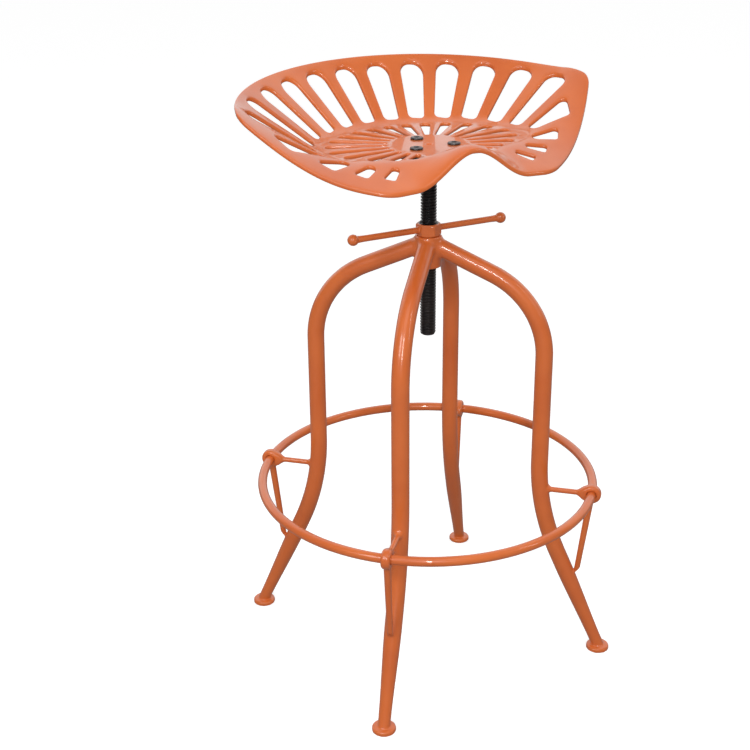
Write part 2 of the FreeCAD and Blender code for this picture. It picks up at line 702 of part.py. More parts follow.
def pommel(x, y):
    """rise of the front edge between the lobes, fading back to the floor"""
    start, end = size("pommel_start"), -size("front_line")
    share = min(max((-y - start) / (end - start), 0), 1)
    side = min(abs(x) / size("pommel_half"), 1)
    return size("pommel_rise") * (1 - math.cos(math.pi * share)) / 2 * (1 + math.cos(math.pi * side)) / 2


SHAPE_SHARPNESS = 10
PLAN_SHARPNESS = 30
SLOPE_STEP = 0.5


def pan_top(x, y):
    """height of the pan's upper surface over a point of the plan"""
    radius = math.hypot(x, y)
    if radius < size("inner_start"):
        return size("seat_height") + pommel(x, y)
    across, along = x / radius, y / radius
    edge = edge_distance(across, along, SHAPE_SHARPNESS)
    fold = fold_distance(across, along)
    share = (radius - fold) / (edge - fold)
    soft = size("fold_share")
    if share <= 0:
        climb = 0
    elif share < soft:
        climb = share ** 2 / (2 * soft)
    else:
        climb = share - soft / 2
    climb = climb / (1 - soft / 2)
    return size("seat_height") + (rim_height(along * edge) - size("seat_height")) * climb + pommel(x, y)


def pan_under(x, y):
    """the point of the lower surface that lies one wall under the upper one, along its normal"""
    slope_x = (pan_top(x + SLOPE_STEP, y) - pan_top(x - SLOPE_STEP, y)) / (2 * SLOPE_STEP)
    slope_y = (pan_top(x, y + SLOPE_STEP) - pan_top(x, y - SLOPE_STEP)) / (2 * SLOPE_STEP)
    normal = Vector(-slope_x, -slope_y, 1).normalize()
    return Vector(x, y, pan_top(x, y)) - normal * size("pan_thickness")


GRID_STEP = 12.5
GRID_MARGIN = 8
CUTTER_MARGIN = 30
LEAN_STEP = math.radians(4)
TOUCHING = 0.01


def pan_sheet_solid():
    """a dished slab over the whole plan: upper surface, lower surface and four ruled sides"""
    half_width = size("oval_width") / 2 + GRID_MARGIN
    rear = size("oval_setback") + size("oval_depth") / 2 + GRID_MARGIN
    front = size("front_line") - GRID_MARGIN
    columns = int(round(2 * half_width / GRID_STEP))
    rows = int(round((rear - front) / GRID_STEP))
    upper, lower = Part.BSplineSurface(), Part.BSplineSurface()
    xs = [-half_width + 2 * half_width * i / columns for i in range(columns + 1)]
    ys = [front + (rear - front) * j / rows for j in range(rows + 1)]
    upper.interpolate([[Vector(x, y, pan_top(x, y)) for y in ys] for x in xs])
    lower.interpolate([[pan_under(x, y) for y in ys] for x in xs])
    top, bottom = upper.toShape(), lower.toShape()
    sides = [Part.makeRuledSurface(a, b) for a, b in zip(top.Edges, bottom.Edges)]
    solid = Part.Solid(Part.Shell([top, bottom] + sides))
    if solid.Volume < 0:
        solid.reverse()
    return solid


def slot_prism(inner, outer, narrow, wide, corner, tip, lean):
    """an upright cutter with four rounded corners; its outer end may lean with the edge of the pan"""
    length = (outer - inner).Length
    slant = lean * wide / 2
    corners = [(Vector(0, narrow / 2, 0), min(corner, size("slot_heel") * narrow)),
               (Vector(length + slant, wide / 2, 0), tip * wide),
               (Vector(length - slant, -wide / 2, 0), tip * wide),
               (Vector(0, -narrow / 2, 0), min(corner, size("slot_heel") * narrow))]
    arcs = []
    for index, (vertex, radius) in enumerate(corners):
        before = (corners[index - 1][0] - vertex).normalize()
        after = (corners[(index + 1) % len(corners)][0] - vertex).normalize()
        half = before.getAngle(after) / 2
        middle = vertex + (before + after).normalize() * radius * (1 / math.sin(half) - 1)
        arcs.append((vertex + before * radius / math.tan(half), middle, vertex + after * radius / math.tan(half)))
    edges = []
    for index, (start, middle, end) in enumerate(arcs):
        edges.append(Part.Arc(start, middle, end).toShape())
        edges.append(Part.LineSegment(end, arcs[(index + 1) % len(arcs)][0]).toShape())
    turn = Rotation(Vector(0, 0, 1), math.degrees(math.atan2(outer.y - inner.y, outer.x - inner.x)))
    low = min(size("lobe_rim"), size("seat_height")) - size("pan_thickness") - CUTTER_MARGIN
    high = max(size("rear_rim"), size("side_rim")) + CUTTER_MARGIN
    face = Part.Face(Part.Wire(edges))
    face.Placement = Placement(Vector(inner.x, inner.y, low), turn)
    return face.extrude(Vector(0, 0, high - low))


def slot_cutters():
    """one cutter for each slot: a ring of them in the floor and a fan up the side walls"""
    cutters = []
    for index in range(int(size("inner_slots"))):
        angle = math.radians(size("inner_step") * (index - (size("inner_slots") - 1) / 2))
        ray = Vector(math.sin(angle), math.cos(angle), 0)
        end = max(fold_distance(ray.x, ray.y), size("inner_start") + 2 * size("inner_wide"))
        cutters.append(slot_prism(ray * size("inner_start"), ray * end, size("inner_narrow"),
                                  size("inner_wide"), size("inner_narrow"), size("slot_tip"), 0))
    for index in range(int(size("outer_slots"))):
        even = math.radians(size("outer_step") * (index + 0.5))
        angle = even + math.radians(size("outer_spread")) * (math.sin(even) + math.sin(2 * even) / 4)
        flank = min(max((math.degrees(angle) - size("flank_from")) / size("flank_over"), 0), 1)

        def blended(rear_size, flank_size):
            return size(rear_size) + (size(flank_size) - size(rear_size)) * flank

        bar, tip = blended("outer_bar", "flank_bar"), blended("slot_tip", "flank_tip")
        edge, behind, ahead = (edge_distance(math.sin(turn), math.cos(turn), PLAN_SHARPNESS)
                               for turn in (angle, angle - LEAN_STEP, angle + LEAN_STEP))
        lean = size("end_lean") * (behind - ahead) / (2 * edge * math.sin(LEAN_STEP))
        start = fold_distance(math.sin(angle), math.cos(angle)) + blended("outer_start", "flank_start")
        end = max(edge - blended("rear_margin", "flank_margin"), start + size("outer_length"))
        room = 2 * math.sin(math.radians(size("outer_step") / 2))
        wide = min(size("outer_wide"), end * room - bar)
        narrow = min(size("outer_narrow"), start * room - bar)
        for side in (1, -1):
            ray = Vector(math.sin(angle) * side, math.cos(angle), 0)
            cutters.append(slot_prism(ray * start, ray * end, narrow, wide, size("outer_corner"), tip, lean * side))
    return Part.makeCompound(cutters)


def bound_object(kind, name, formulas):
    """a solid of the part workbench whose properties follow formulas"""
    thing = doc.addObject(kind, name)
    for prop, formula in formulas.items():
        thing.setExpression(prop, formula)
    return thing


def make_pan_plan():
    """the pan's plan as an upright block: rear oval, curved flanks and front line, corners rounded"""
    bottom = "min(sizes.lobe_rim; sizes.seat_height) - sizes.pan_thickness - %g" % CUTTER_MARGIN
    tall = "max(sizes.rear_rim; sizes.side_rim) + %g - (%s)" % (CUTTER_MARGIN, bottom)
    oval = bound_object("Part::Ellipse", "pan_oval", {
        "MajorRadius": "max(sizes.oval_width; sizes.oval_depth) / 2",
        "MinorRadius": "min(sizes.oval_width; sizes.oval_depth) / 2",
        "Placement.Rotation.Angle": "sizes.oval_width < sizes.oval_depth ? 90 : 0",
        "Placement.Base.y": "sizes.oval_setback", "Placement.Base.z": bottom})
    block = doc.addObject("Part::Extrusion", "pan_oval_block")
    block.Base = oval
    block.DirMode = "Custom"
    block.Dir = Vector(0, 0, 1)
    block.Solid = True
    block.setExpression("LengthFwd", tall)
    wedge = new_body("pan_wedge")
    outline = new_sketch(wedge, "pan_wedge_outline", "XY_Plane", bottom)
    out = "(sizes.oval_width / 2 + %g)" % CUTTER_MARGIN
    back = "sizes.oval_depth"
    centre_x = "(sizes.lobe_reach - sizes.flank_radius * sin(sizes.flank_angle))"
    flank_end = ("(sizes.front_line + sizes.flank_radius * cos(sizes.flank_angle)"
                 " - sqrt(sizes.flank_radius ^ 2 - (%s - %s) ^ 2))" % (out, centre_x))
    draw(outline, [
        ("sizes.lobe_reach", "sizes.front_line", "sizes.flank_radius", 1),
        (out, flank_end),
        (out, back),
        ("-" + out, back),
        ("-" + out, flank_end, "sizes.flank_radius", 1),
        ("-sizes.lobe_reach", "sizes.front_line"),
    ])
    pad_sketch(wedge, outline, tall)
    common = doc.addObject("Part::Common", "pan_plan")
    common.Base = block
    common.Tool = wedge
    doc.recompute()
    rounded = doc.addObject("Part::Fillet", "pan_plan_rounded")
    rounded.Base = common
    edges = []
    for number, edge in enumerate(common.Shape.Edges, start=1):
        ends = [vertex.Point for vertex in edge.Vertexes]
        upright = len(ends) == 2 and math.hypot(ends[0].x - ends[1].x, ends[0].y - ends[1].y) < TOUCHING
        if upright and abs(abs(ends[0].x) - size("oval_width") / 2) > TOUCHING and abs(ends[0].x) > TOUCHING:
            front = ends[0].y < size("front_line") + TOUCHING
            radius = size("lobe_round") if front else size("corner_round")
            edges.append((number, radius, radius))
    rounded.Edges = edges
    return rounded


def make_pan():
    sheet_solid = doc.addObject("Part::Feature", "pan_sheet")
    sheet_solid.Shape = pan_sheet_solid()
    cutters = doc.addObject("Part::Feature", "pan_slots")
    cutters.Shape = slot_cutters()
    holes = new_body("pan_bolt_holes")
    holes.AllowCompound = True
    hole = new_sketch(holes, "pan_bolt_hole", "XY_Plane", "sizes.seat_height - 2 * sizes.pan_thickness")
    draw_circle(hole, "sizes.bolt_circle", "0", "sizes.bolt_shank / 2 + sizes.bolt_clearance")
    polar_pattern(holes, pad_sketch(holes, hole, "3 * sizes.pan_thickness"), "sizes.bolt_count")
    place(holes, "90")
    slotted = doc.addObject("Part::Cut", "pan_plan_slotted")
    slotted.Base = make_pan_plan()
    slotted.Tool = cutters
    drilled = doc.addObject("Part::Cut", "pan_plan_drilled")
    drilled.Base = slotted
    drilled.Tool = holes
    pan = doc.addObject("Part::Common", "seat_pan")
    pan.Label = "seat_pan"
    pan.Base = sheet_solid
    pan.Tool = drilled
    return pan


pieces = [make_sleeve(), make_ring(), make_lock_nut(), make_handle(0), make_handle(1), make_screw(),
          make_plate(), make_bolts(), make_bolt_nuts()]
for index in range(int(size("leg_count"))):
    pieces.append(make_leg(index))
    pieces.append(make_foot(index))
    pieces.append(make_bracket(index))
pieces.append(make_pan())
doc.recompute()

for thing in doc.Objects:
    if "Invalid" in thing.State or "Error" in thing.State:
        raise RuntimeError("%s: %s" % (thing.Name, thing.State))
for piece in pieces:
    if piece.Shape.isNull() or not piece.Shape.isValid():
        raise RuntimeError("%s has no valid shape" % piece.Label)

os.makedirs("parts", exist_ok=True)
for piece in pieces:
    piece.Shape.exportStep("parts/%s.step" % piece.Label)
    print("%-22s solids %d  volume %.0f" % (piece.Label, len(piece.Shape.Solids), piece.Shape.Volume))
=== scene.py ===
import math
import bmesh
import bpy
import numpy as np
from mathutils import Matrix, Vector
from mathutils.geometry import delaunay_2d_cdt


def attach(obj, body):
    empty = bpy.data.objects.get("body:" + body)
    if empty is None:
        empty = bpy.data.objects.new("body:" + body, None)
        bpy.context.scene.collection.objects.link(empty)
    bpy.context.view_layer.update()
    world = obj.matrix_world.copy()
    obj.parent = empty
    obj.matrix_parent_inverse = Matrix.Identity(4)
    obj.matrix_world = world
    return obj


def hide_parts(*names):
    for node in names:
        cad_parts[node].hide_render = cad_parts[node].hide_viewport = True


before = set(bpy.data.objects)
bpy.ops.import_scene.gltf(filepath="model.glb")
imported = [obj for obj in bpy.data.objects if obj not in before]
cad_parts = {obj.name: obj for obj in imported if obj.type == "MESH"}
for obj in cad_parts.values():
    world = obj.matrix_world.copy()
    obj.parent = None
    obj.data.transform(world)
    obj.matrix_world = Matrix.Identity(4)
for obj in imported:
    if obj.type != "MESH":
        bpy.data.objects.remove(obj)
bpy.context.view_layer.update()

# Camera: stands in front and to the left of the stool, a little above the seat and looking down.
# Its place and lens are worked out from the legs, the ring and the feet in the photograph.
camera_distance = 1.572771
camera_height = 1.066101
camera_pitch = math.radians(23.489)
camera_yaw = math.radians(-2.485)
camera_roll = math.radians(-0.5905)
stool_turn = math.radians(-30.021)
lens_in_pixels = 1319.256
picture_width = 750
film_width = 36

forward = Vector((math.sin(camera_yaw) * math.cos(camera_pitch),
                  math.cos(camera_yaw) * math.cos(camera_pitch), -math.sin(camera_pitch)))
level_right = Vector((math.cos(camera_yaw), -math.sin(camera_yaw), 0))
level_up = level_right.cross(forward)
right = level_right * math.cos(camera_roll) + level_up * math.sin(camera_roll)
up = level_up * math.cos(camera_roll) - level_right * math.sin(camera_roll)
facing = Matrix((right, up, -forward)).transposed().to_4x4()
camera_data = bpy.data.cameras.new("camera")
camera_data.sensor_width = film_width
camera_data.lens = lens_in_pixels / picture_width * film_width
camera = bpy.data.objects.new("camera", camera_data)
bpy.context.scene.collection.objects.link(camera)
stand = Matrix.Translation((0, -camera_distance, camera_height)) @ facing
camera.matrix_world = Matrix.Rotation(stool_turn, 4, "Z") @ stand
bpy.context.scene.camera = camera
bpy.context.scene.view_settings.view_transform = "Standard"

# Studio: a pale floor that keeps the stool's shadow, a white tent brightest overhead, and soft lamps.
# The tent is plain white to the camera; reflections find it dark but for the lit backdrop behind.
tent_low, tent_high = 0.46, 0.62
tent_foot, tent_crown = -0.1, 0.9
mirror_low, mirror_high = 0.12, 1.05
mirror_edge, mirror_full = 0.15, 0.55
backdrop = (0.5, 0.866, 0.1)
white = (1, 1, 1, 1)
floor_reach = 30
floor_colour = (0.9, 0.9, 0.9, 1)
floor_bounce = (0.28, 0.28, 0.28, 1)
floor_glow = 0.46
lamps = (
    ("key_strip", (-1.12, -2.1, 1.7), (0, 0, 0.45), 0.14, 1.5, 22),
    ("left_box", (-1.6, -0.8, 1.5), (0, 0, 0.55), 0.6, 0.9, 10),
    ("right_strip", (1.3, -1.5, 1.5), (0, 0, 0.5), 0.1, 1.3, 4),
    ("top_box", (-0.3, -0.7, 2.4), (0, 0, 0.6), 1.2, 1.2, 4),
)


def fill_in(tree, node, **settings):
    """gives inputs and properties their values by name; a socket given for an input is linked"""
    for name, value in settings.items():
        title = name.replace("_", " ")
        entry = next((e for e in node.inputs if e.name.lower() == title and not e.is_unavailable), None)
        if entry is None:
            setattr(node, name, value)
        elif isinstance(value, bpy.types.NodeSocket):
            tree.links.new(value, entry)
        else:
            entry.default_value = value
    return node


def node_in(tree, kind, **settings):
    """a new node of a tree, filled in"""
    return fill_in(tree, tree.nodes.new(kind), **settings)


def worked_out(tree, operation, *values):
    """output of a Math node on sockets and plain numbers"""
    node = node_in(tree, "ShaderNodeMath", operation=operation)
    for entry, value in zip(node.inputs, values):
        if isinstance(value, bpy.types.NodeSocket):
            tree.links.new(value, entry)
        else:
            entry.default_value = value
    return node.outputs[0]


world = bpy.data.worlds.new("room")
bpy.context.scene.world = world
world.use_nodes = True
tree = world.node_tree
tree.nodes.clear()
ray = node_in(tree, "ShaderNodeLightPath").outputs
direction = node_in(tree, "ShaderNodeTexCoord").outputs["Generated"]
height = node_in(tree, "ShaderNodeSeparateXYZ", vector=direction).outputs["Z"]
behind = node_in(tree, "ShaderNodeVectorMath", operation="DOT_PRODUCT", vector=direction)
behind.inputs[1].default_value = backdrop
lit = node_in(tree, "ShaderNodeMapRange", value=height,
              from_min=tent_foot, from_max=tent_crown, to_min=tent_low, to_max=tent_high)
mirrored = node_in(tree, "ShaderNodeMapRange", value=behind.outputs["Value"],
                   from_min=mirror_edge, from_max=mirror_full, to_min=mirror_low, to_max=mirror_high)
seen = worked_out(tree, "MAXIMUM", ray["Is Camera Ray"], ray["Is Transmission Ray"])
given = node_in(tree, "ShaderNodeMix", data_type="FLOAT", factor=ray["Is Glossy Ray"],
                a=lit.outputs[0], b=mirrored.outputs[0])
strength = node_in(tree, "ShaderNodeMix", data_type="FLOAT", factor=seen, a=given.outputs[0], b=1.0)
room = node_in(tree, "ShaderNodeBackground", color=white, strength=strength.outputs[0])
node_in(tree, "ShaderNodeOutputWorld", surface=room.outputs[0])

for name, place, aim, wide, tall, watts in lamps:
    lamp_data = bpy.data.lights.new(name, "AREA")
    lamp_data.shape = "RECTANGLE"
    lamp_data.size = wide
    lamp_data.size_y = tall
    lamp_data.energy = watts
    lamp = bpy.data.objects.new(name, lamp_data)
    bpy.context.scene.collection.objects.link(lamp)
    lamp.location = place
    lamp.rotation_euler = (Vector(aim) - Vector(place)).to_track_quat("-Z", "Y").to_euler()

floor_mesh = bpy.data.meshes.new("floor")
corners = [(-floor_reach, -floor_reach, 0), (floor_reach, -floor_reach, 0),
           (floor_reach, floor_reach, 0), (-floor_reach, floor_reach, 0)]
floor_mesh.from_pydata(corners, [], [(0, 1, 2, 3)])
floor = bpy.data.objects.new("floor", floor_mesh)
bpy.context.scene.collection.objects.link(floor)
floor_paint = bpy.data.materials.new("pale_floor")
floor_paint.use_nodes = True
tree = floor_paint.node_tree
tree.nodes.clear()
looked_at = node_in(tree, "ShaderNodeLightPath").outputs["Is Camera Ray"]
shade = node_in(tree, "ShaderNodeMix", data_type="RGBA", factor=looked_at, a=floor_bounce, b=floor_colour)
matt = node_in(tree, "ShaderNodeBsdfDiffuse", color=shade.outputs[2])
glow = node_in(tree, "ShaderNodeEmission", color=white,
               strength=worked_out(tree, "MULTIPLY", looked_at, floor_glow))
both = node_in(tree, "ShaderNodeAddShader", shader=matt.outputs[0])
tree.links.new(glow.outputs[0], both.inputs[1])
node_in(tree, "ShaderNodeOutputMaterial", surface=both.outputs[0])
floor_mesh.materials.append(floor_paint)

# Legs: four steel tubes, bent at the shoulder and the knee, drawn down to a thin toe near the floor,
# and coated with the same glossy orange powder coat as everything else that is welded to them.
mm = 0.001
leg_count = 4
leg_turn = math.radians(-42.35)
leg_radius = 11.1 * mm
toe_radius = 7.85 * mm
leg_run = 150.3 * mm
arm_height = 563.9 * mm
arm_slope = math.radians(23.96)
arm_start = 12 * mm
shoulder_bend = 115 * mm
knee_height = 275.4 * mm
knee_bend = 320 * mm
knee_angle = math.radians(24.2)
taper_height = 125 * mm
foot_thickness = 6 * mm
bend_steps, tube_sides, tube_step = 24, 48, 4.5 * mm
orange = (0.73, 0.165, 0.032, 1)
orange_deep = (0.63, 0.125, 0.022, 1)


def coat_material(name, pale, deep, peel, grain):
    """sprayed and baked coat: a slow drift of colour, orange peel and a thin clear gloss"""
    paint = bpy.data.materials.new(name)
    paint.use_nodes = True
    tree = paint.node_tree
    where = node_in(tree, "ShaderNodeTexCoord").outputs["Object"]
    drift = node_in(tree, "ShaderNodeTexNoise", vector=where, scale=9.0, detail=3.0, roughness=0.6)
    fade = node_in(tree, "ShaderNodeMapRange", value=drift.outputs[0], from_min=0.35, from_max=0.7)
    colour = node_in(tree, "ShaderNodeMix", data_type="RGBA", factor=fade.outputs[0], a=pale, b=deep)
    haze = node_in(tree, "ShaderNodeTexNoise", vector=where, scale=60.0, detail=4.0)
    gloss = node_in(tree, "ShaderNodeMapRange", value=haze.outputs[0], to_min=0.26, to_max=0.44)
    fine = node_in(tree, "ShaderNodeTexNoise", vector=where, scale=peel, detail=2.0)
    coarse = node_in(tree, "ShaderNodeTexNoise", vector=where, scale=grain, detail=3.0)
    skin = worked_out(tree, "MULTIPLY_ADD", coarse.outputs[0], 2.5, fine.outputs[0])
    bump = node_in(tree, "ShaderNodeBump", height=skin, strength=0.12, distance=0.0004)
    fill_in(tree, tree.nodes["Principled BSDF"], base_color=colour.outputs[2], roughness=gloss.outputs[0],
            ior=1.5, coat_weight=0.7, coat_roughness=0.05, normal=bump.outputs[0])
    return paint


orange_coat = coat_material("orange_coat", orange, orange_deep, 700.0, 90.0)


def new_object(name, mesh, material):
    """a finished piece at the origin, smooth shaded"""
    mesh.name = name
    mesh.materials.clear()
    mesh.materials.append(material)
    mesh.shade_smooth()
    piece = bpy.data.objects.new(name, mesh)
    bpy.context.scene.collection.objects.link(piece)
    return piece


def growing_tree(name, sizes):
    """a Geometry Nodes tree with a float input for each named size, and its input sockets"""
    tree = bpy.data.node_groups.new(name, "GeometryNodeTree")
    tree.interface.new_socket("Geometry", in_out="INPUT", socket_type="NodeSocketGeometry")
    for size in sizes:
        tree.interface.new_socket(size, in_out="INPUT", socket_type="NodeSocketFloat")
    tree.interface.new_socket("Geometry", in_out="OUTPUT", socket_type="NodeSocketGeometry")
    return tree, tree.nodes.new("NodeGroupInput").outputs


def grown(name, source, tree, shape, sizes, material):
    """ends a tree in real geometry with its material, runs it and keeps the result as a plain mesh"""
    real = node_in(tree, "GeometryNodeRealizeInstances", geometry=shape.outputs[0])
    coated = node_in(tree, "GeometryNodeSetMaterial", geometry=real.outputs[0], material=material)
    node_in(tree, "NodeGroupOutput", geometry=coated.outputs[0])
    holder = bpy.data.objects.new(name + "_source", source)
    bpy.context.scene.collection.objects.link(holder)
    modifier = holder.modifiers.new("grow", "NODES")
    modifier.node_group = tree
    sockets = {item.name: item.identifier for item in tree.interface.items_tree if item.in_out == "INPUT"}
    for size, value in sizes.items():
        modifier[sockets[size]] = float(value)
    graph = bpy.context.evaluated_depsgraph_get()
    mesh = bpy.data.meshes.new_from_object(holder.evaluated_get(graph), depsgraph=graph)
    holder.modifiers.remove(modifier)
    bpy.data.objects.remove(holder)
    return new_object(name, mesh, material)


def leg_line():
    """centre line of a leg in its own upright plane, (outward, up), from the hub to the floor"""
    centre = leg_run - shoulder_bend
    shoulder = arm_height - math.tan(arm_slope) * centre - shoulder_bend / math.cos(arm_slope)
    points = [(arm_start, arm_height - math.tan(arm_slope) * arm_start)]
    for i in range(bend_steps + 1):
        turn = (math.pi / 2 - arm_slope) * (1 - i / bend_steps)
        points.append((centre + shoulder_bend * math.cos(turn), shoulder + shoulder_bend * math.sin(turn)))
    for i in range(bend_steps + 1):
        turn = knee_angle * i / bend_steps
        out = leg_run + knee_bend * (1 - math.cos(turn))
        points.append((out, knee_height - knee_bend * math.sin(turn)))
    knee = points[-1]
    for height in (taper_height, foot_thickness):
        points.append((knee[0] + (knee[1] - height) * math.tan(knee_angle), height))
    return points


leg_points = leg_line()
foot_reach = leg_points[-1][0]
leg_lines = bpy.data.curves.new("leg_lines", "CURVE")
leg_lines.dimensions = "3D"
for index in range(leg_count):
    turn = leg_turn + 2 * math.pi * index / leg_count
    spline = leg_lines.splines.new("POLY")
    spline.points.add(len(leg_points) - 1)
    for point, (out, height) in zip(spline.points, leg_points):
        point.co = (out * math.cos(turn), out * math.sin(turn), height, 1)

tube_sizes = {"radius": leg_radius, "toe radius": toe_radius,
              "taper height": taper_height, "floor height": foot_thickness}
tree, given = growing_tree("bent_tubes", tube_sizes)
evenly = node_in(tree, "GeometryNodeResampleCurve", mode="LENGTH",
                 curve=given["Geometry"], length=tube_step)
place = node_in(tree, "GeometryNodeInputPosition").outputs[0]
height = node_in(tree, "ShaderNodeSeparateXYZ", vector=place).outputs["Z"]
taper = node_in(tree, "ShaderNodeMapRange", interpolation_type="SMOOTHSTEP", value=height,
                from_min=given["floor height"], from_max=given["taper height"],
                to_min=given["toe radius"], to_max=given["radius"])
circle = node_in(tree, "GeometryNodeCurvePrimitiveCircle", resolution=tube_sides, radius=given["radius"])
swept = node_in(tree, "GeometryNodeCurveToMesh", curve=evenly.outputs[0], profile_curve=circle.outputs[0],
                scale=worked_out(tree, "DIVIDE", taper.outputs[0], given["radius"]), fill_caps=True)
leg_tubes = grown("leg_tubes", leg_lines, tree, swept, tube_sizes, orange_coat)
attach(leg_tubes, "base")
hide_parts(*["leg_%d" % (i + 1) for i in range(leg_count)])

# Hub: a short sleeve with the arms of the four legs welded round it, threaded inside for the screw.
# The welds are ground to broad fillets, so the arms flow into the sleeve and into one another.
sleeve_radius = 16.2 * mm
sleeve_bottom = 532 * mm
sleeve_top = 572.5 * mm
sleeve_edge = 1.2 * mm
sleeve_bore = 10.2 * mm
bore_edge = 0.6 * mm
stub_length = 50 * mm
weld_width = 9 * mm
weld_lump = 0.5 * mm
weld_grain = 160.0
weld_sink = 0.15 * mm
soft_edge = 0.5 * mm
hub_box = (-0.06, -0.06, 0.524), (0.06, 0.06, 0.578)
hub_voxel = 0.8 * mm


class Field:
    """a number that a node tree works out at every point of space"""

    def __init__(self, tree, socket):
        self.tree = tree
        self.socket = socket

    def apply(self, operation, *others):
        values = [v.socket if isinstance(v, Field) else v for v in (self,) + others]
        return Field(self.tree, worked_out(self.tree, operation, *values))

    def __add__(self, other):
        return self.apply("ADD", other)

    def __sub__(self, other):
        return self.apply("SUBTRACT", other)

    def __mul__(self, other):
        return self.apply("MULTIPLY", other)

    def __neg__(self):
        return self.apply("MULTIPLY", -1.0)


def far(*sides):
    """length of the vector whose sides are given"""
    total = sides[0] * sides[0]
    for side in sides[1:]:
        total = total + side * side
    return total.apply("SQRT")


def joined(first, second, fillet):
    """both solids together, with a fillet between them"""
    return first.apply("SMOOTH_MIN", second, fillet)


def common(first, second, ease=soft_edge):
    """what lies in both solids, with its new edges eased"""
    return first.apply("SMOOTH_MAX", second, ease)


def moulded(name, sizes, shape, box, voxel, copies, blur=3):
    """a coated solid whose distance rule is shape(x, y, z, size), meshed and repeated round the screw"""
    tree, given = growing_tree(name, sizes)
    size = {key: Field(tree, given[key]) for key in sizes}
    place = node_in(tree, "GeometryNodeInputPosition").outputs[0]
    parts = node_in(tree, "ShaderNodeSeparateXYZ", vector=place).outputs
    density = shape(*(Field(tree, socket) for socket in parts), size) * -100.0 + 1.0
    cube = node_in(tree, "GeometryNodeVolumeCube", min=box[0], max=box[1], density=density.socket)
    for axis, start, end in zip("XYZ", *box):
        cube.inputs["Resolution " + axis].default_value = int(round((end - start) / voxel))
    skin = node_in(tree, "GeometryNodeVolumeToMesh", volume=cube.outputs[0], threshold=1.0)
    soft = node_in(tree, "GeometryNodeBlurAttribute", data_type="FLOAT_VECTOR",
                   value=place, iterations=blur)
    moved = node_in(tree, "GeometryNodeSetPosition", geometry=skin.outputs[0], position=soft.outputs[0])
    gathered = node_in(tree, "GeometryNodeJoinGeometry")
    for turn in copies:
        turned = node_in(tree, "GeometryNodeTransform", geometry=moved.outputs[0], rotation=(0, 0, turn))
        tree.links.new(turned.outputs[0], gathered.inputs[0])
    return grown(name, bpy.data.meshes.new(name + "_start"), tree, gathered, sizes, orange_coat)


def uneven(field, scale):
    """a slow unevenness between -1 and 1 over the space that a field fills"""
    node = node_in(field.tree, "ShaderNodeTexNoise", scale=scale, detail=1.0)
    return Field(field.tree, node.outputs[0]) * 2.0 - 1.0


def hub_shape(x, y, z, size):
    radius = far(x, y)
    quarter = math.pi / leg_count
    turn = (y.apply("ARCTAN2", x) - leg_turn).apply("WRAP", quarter, -quarter)
    out, side = radius * turn.apply("COSINE"), radius * turn.apply("SINE")
    above = z - size["arm height"]
    off = out * math.sin(arm_slope) + above * math.cos(arm_slope)
    along = out * math.cos(arm_slope) - above * math.sin(arm_slope)
    arm = common(far(off, side) - size["arm radius"], along - size["stub length"])
    level = (z - (sleeve_bottom + sleeve_top) / 2).apply("ABSOLUTE") - (sleeve_top - sleeve_bottom) / 2
    sleeve = common(radius - size["sleeve radius"], level, sleeve_edge)
    near = ((arm - sleeve).apply("ABSOLUTE") * -1.0 + size["weld width"]).apply("MAXIMUM", 0.0)
    lump = near * (1 / weld_width) * uneven(near, weld_grain) * weld_lump
    solid = joined(arm, sleeve, size["weld width"]) - lump
    return common(common(solid, z - sleeve_top, 2 * soft_edge), -(radius - size["bore"]), bore_edge)


hub_sleeve = moulded("hub_welds", {
    "arm height": arm_height, "arm radius": leg_radius - weld_sink, "stub length": stub_length,
    "sleeve radius": sleeve_radius, "weld width": weld_width, "bore": sleeve_bore},
    hub_shape, hub_box, hub_voxel, (0,))
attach(hub_sleeve, "base")
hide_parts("hub_sleeve")

# Footrest: a ring of round steel rod, bent to a circle and butt welded, then coated.
# It is threaded through an eye on a bracket at each leg.
ring_radius = 220 * mm
ring_rod = 6 * mm
ring_height = 235.6 * mm
ring_steps, rod_sides = 300, 32

ring_curve = bpy.data.curves.new("ring_line", "CURVE")
ring_curve.dimensions = "3D"
ring_sizes = {"ring radius": ring_radius, "rod radius": ring_rod, "height": ring_height}
tree, given = growing_tree("bent_ring", ring_sizes)
line = node_in(tree, "GeometryNodeCurvePrimitiveCircle", resolution=ring_steps, radius=given["ring radius"])
rod = node_in(tree, "GeometryNodeCurvePrimitiveCircle", resolution=rod_sides, radius=given["rod radius"])
swept = node_in(tree, "GeometryNodeCurveToMesh", curve=line.outputs[0], profile_curve=rod.outputs[0])
raised = node_in(tree, "ShaderNodeCombineXYZ", z=given["height"])
lifted = node_in(tree, "GeometryNodeTransform", geometry=swept.outputs[0], translation=raised.outputs[0])
footrest_ring = grown("footrest_rod", ring_curve, tree, lifted, ring_sizes, orange_coat)
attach(footrest_ring, "base")
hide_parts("footrest_ring")

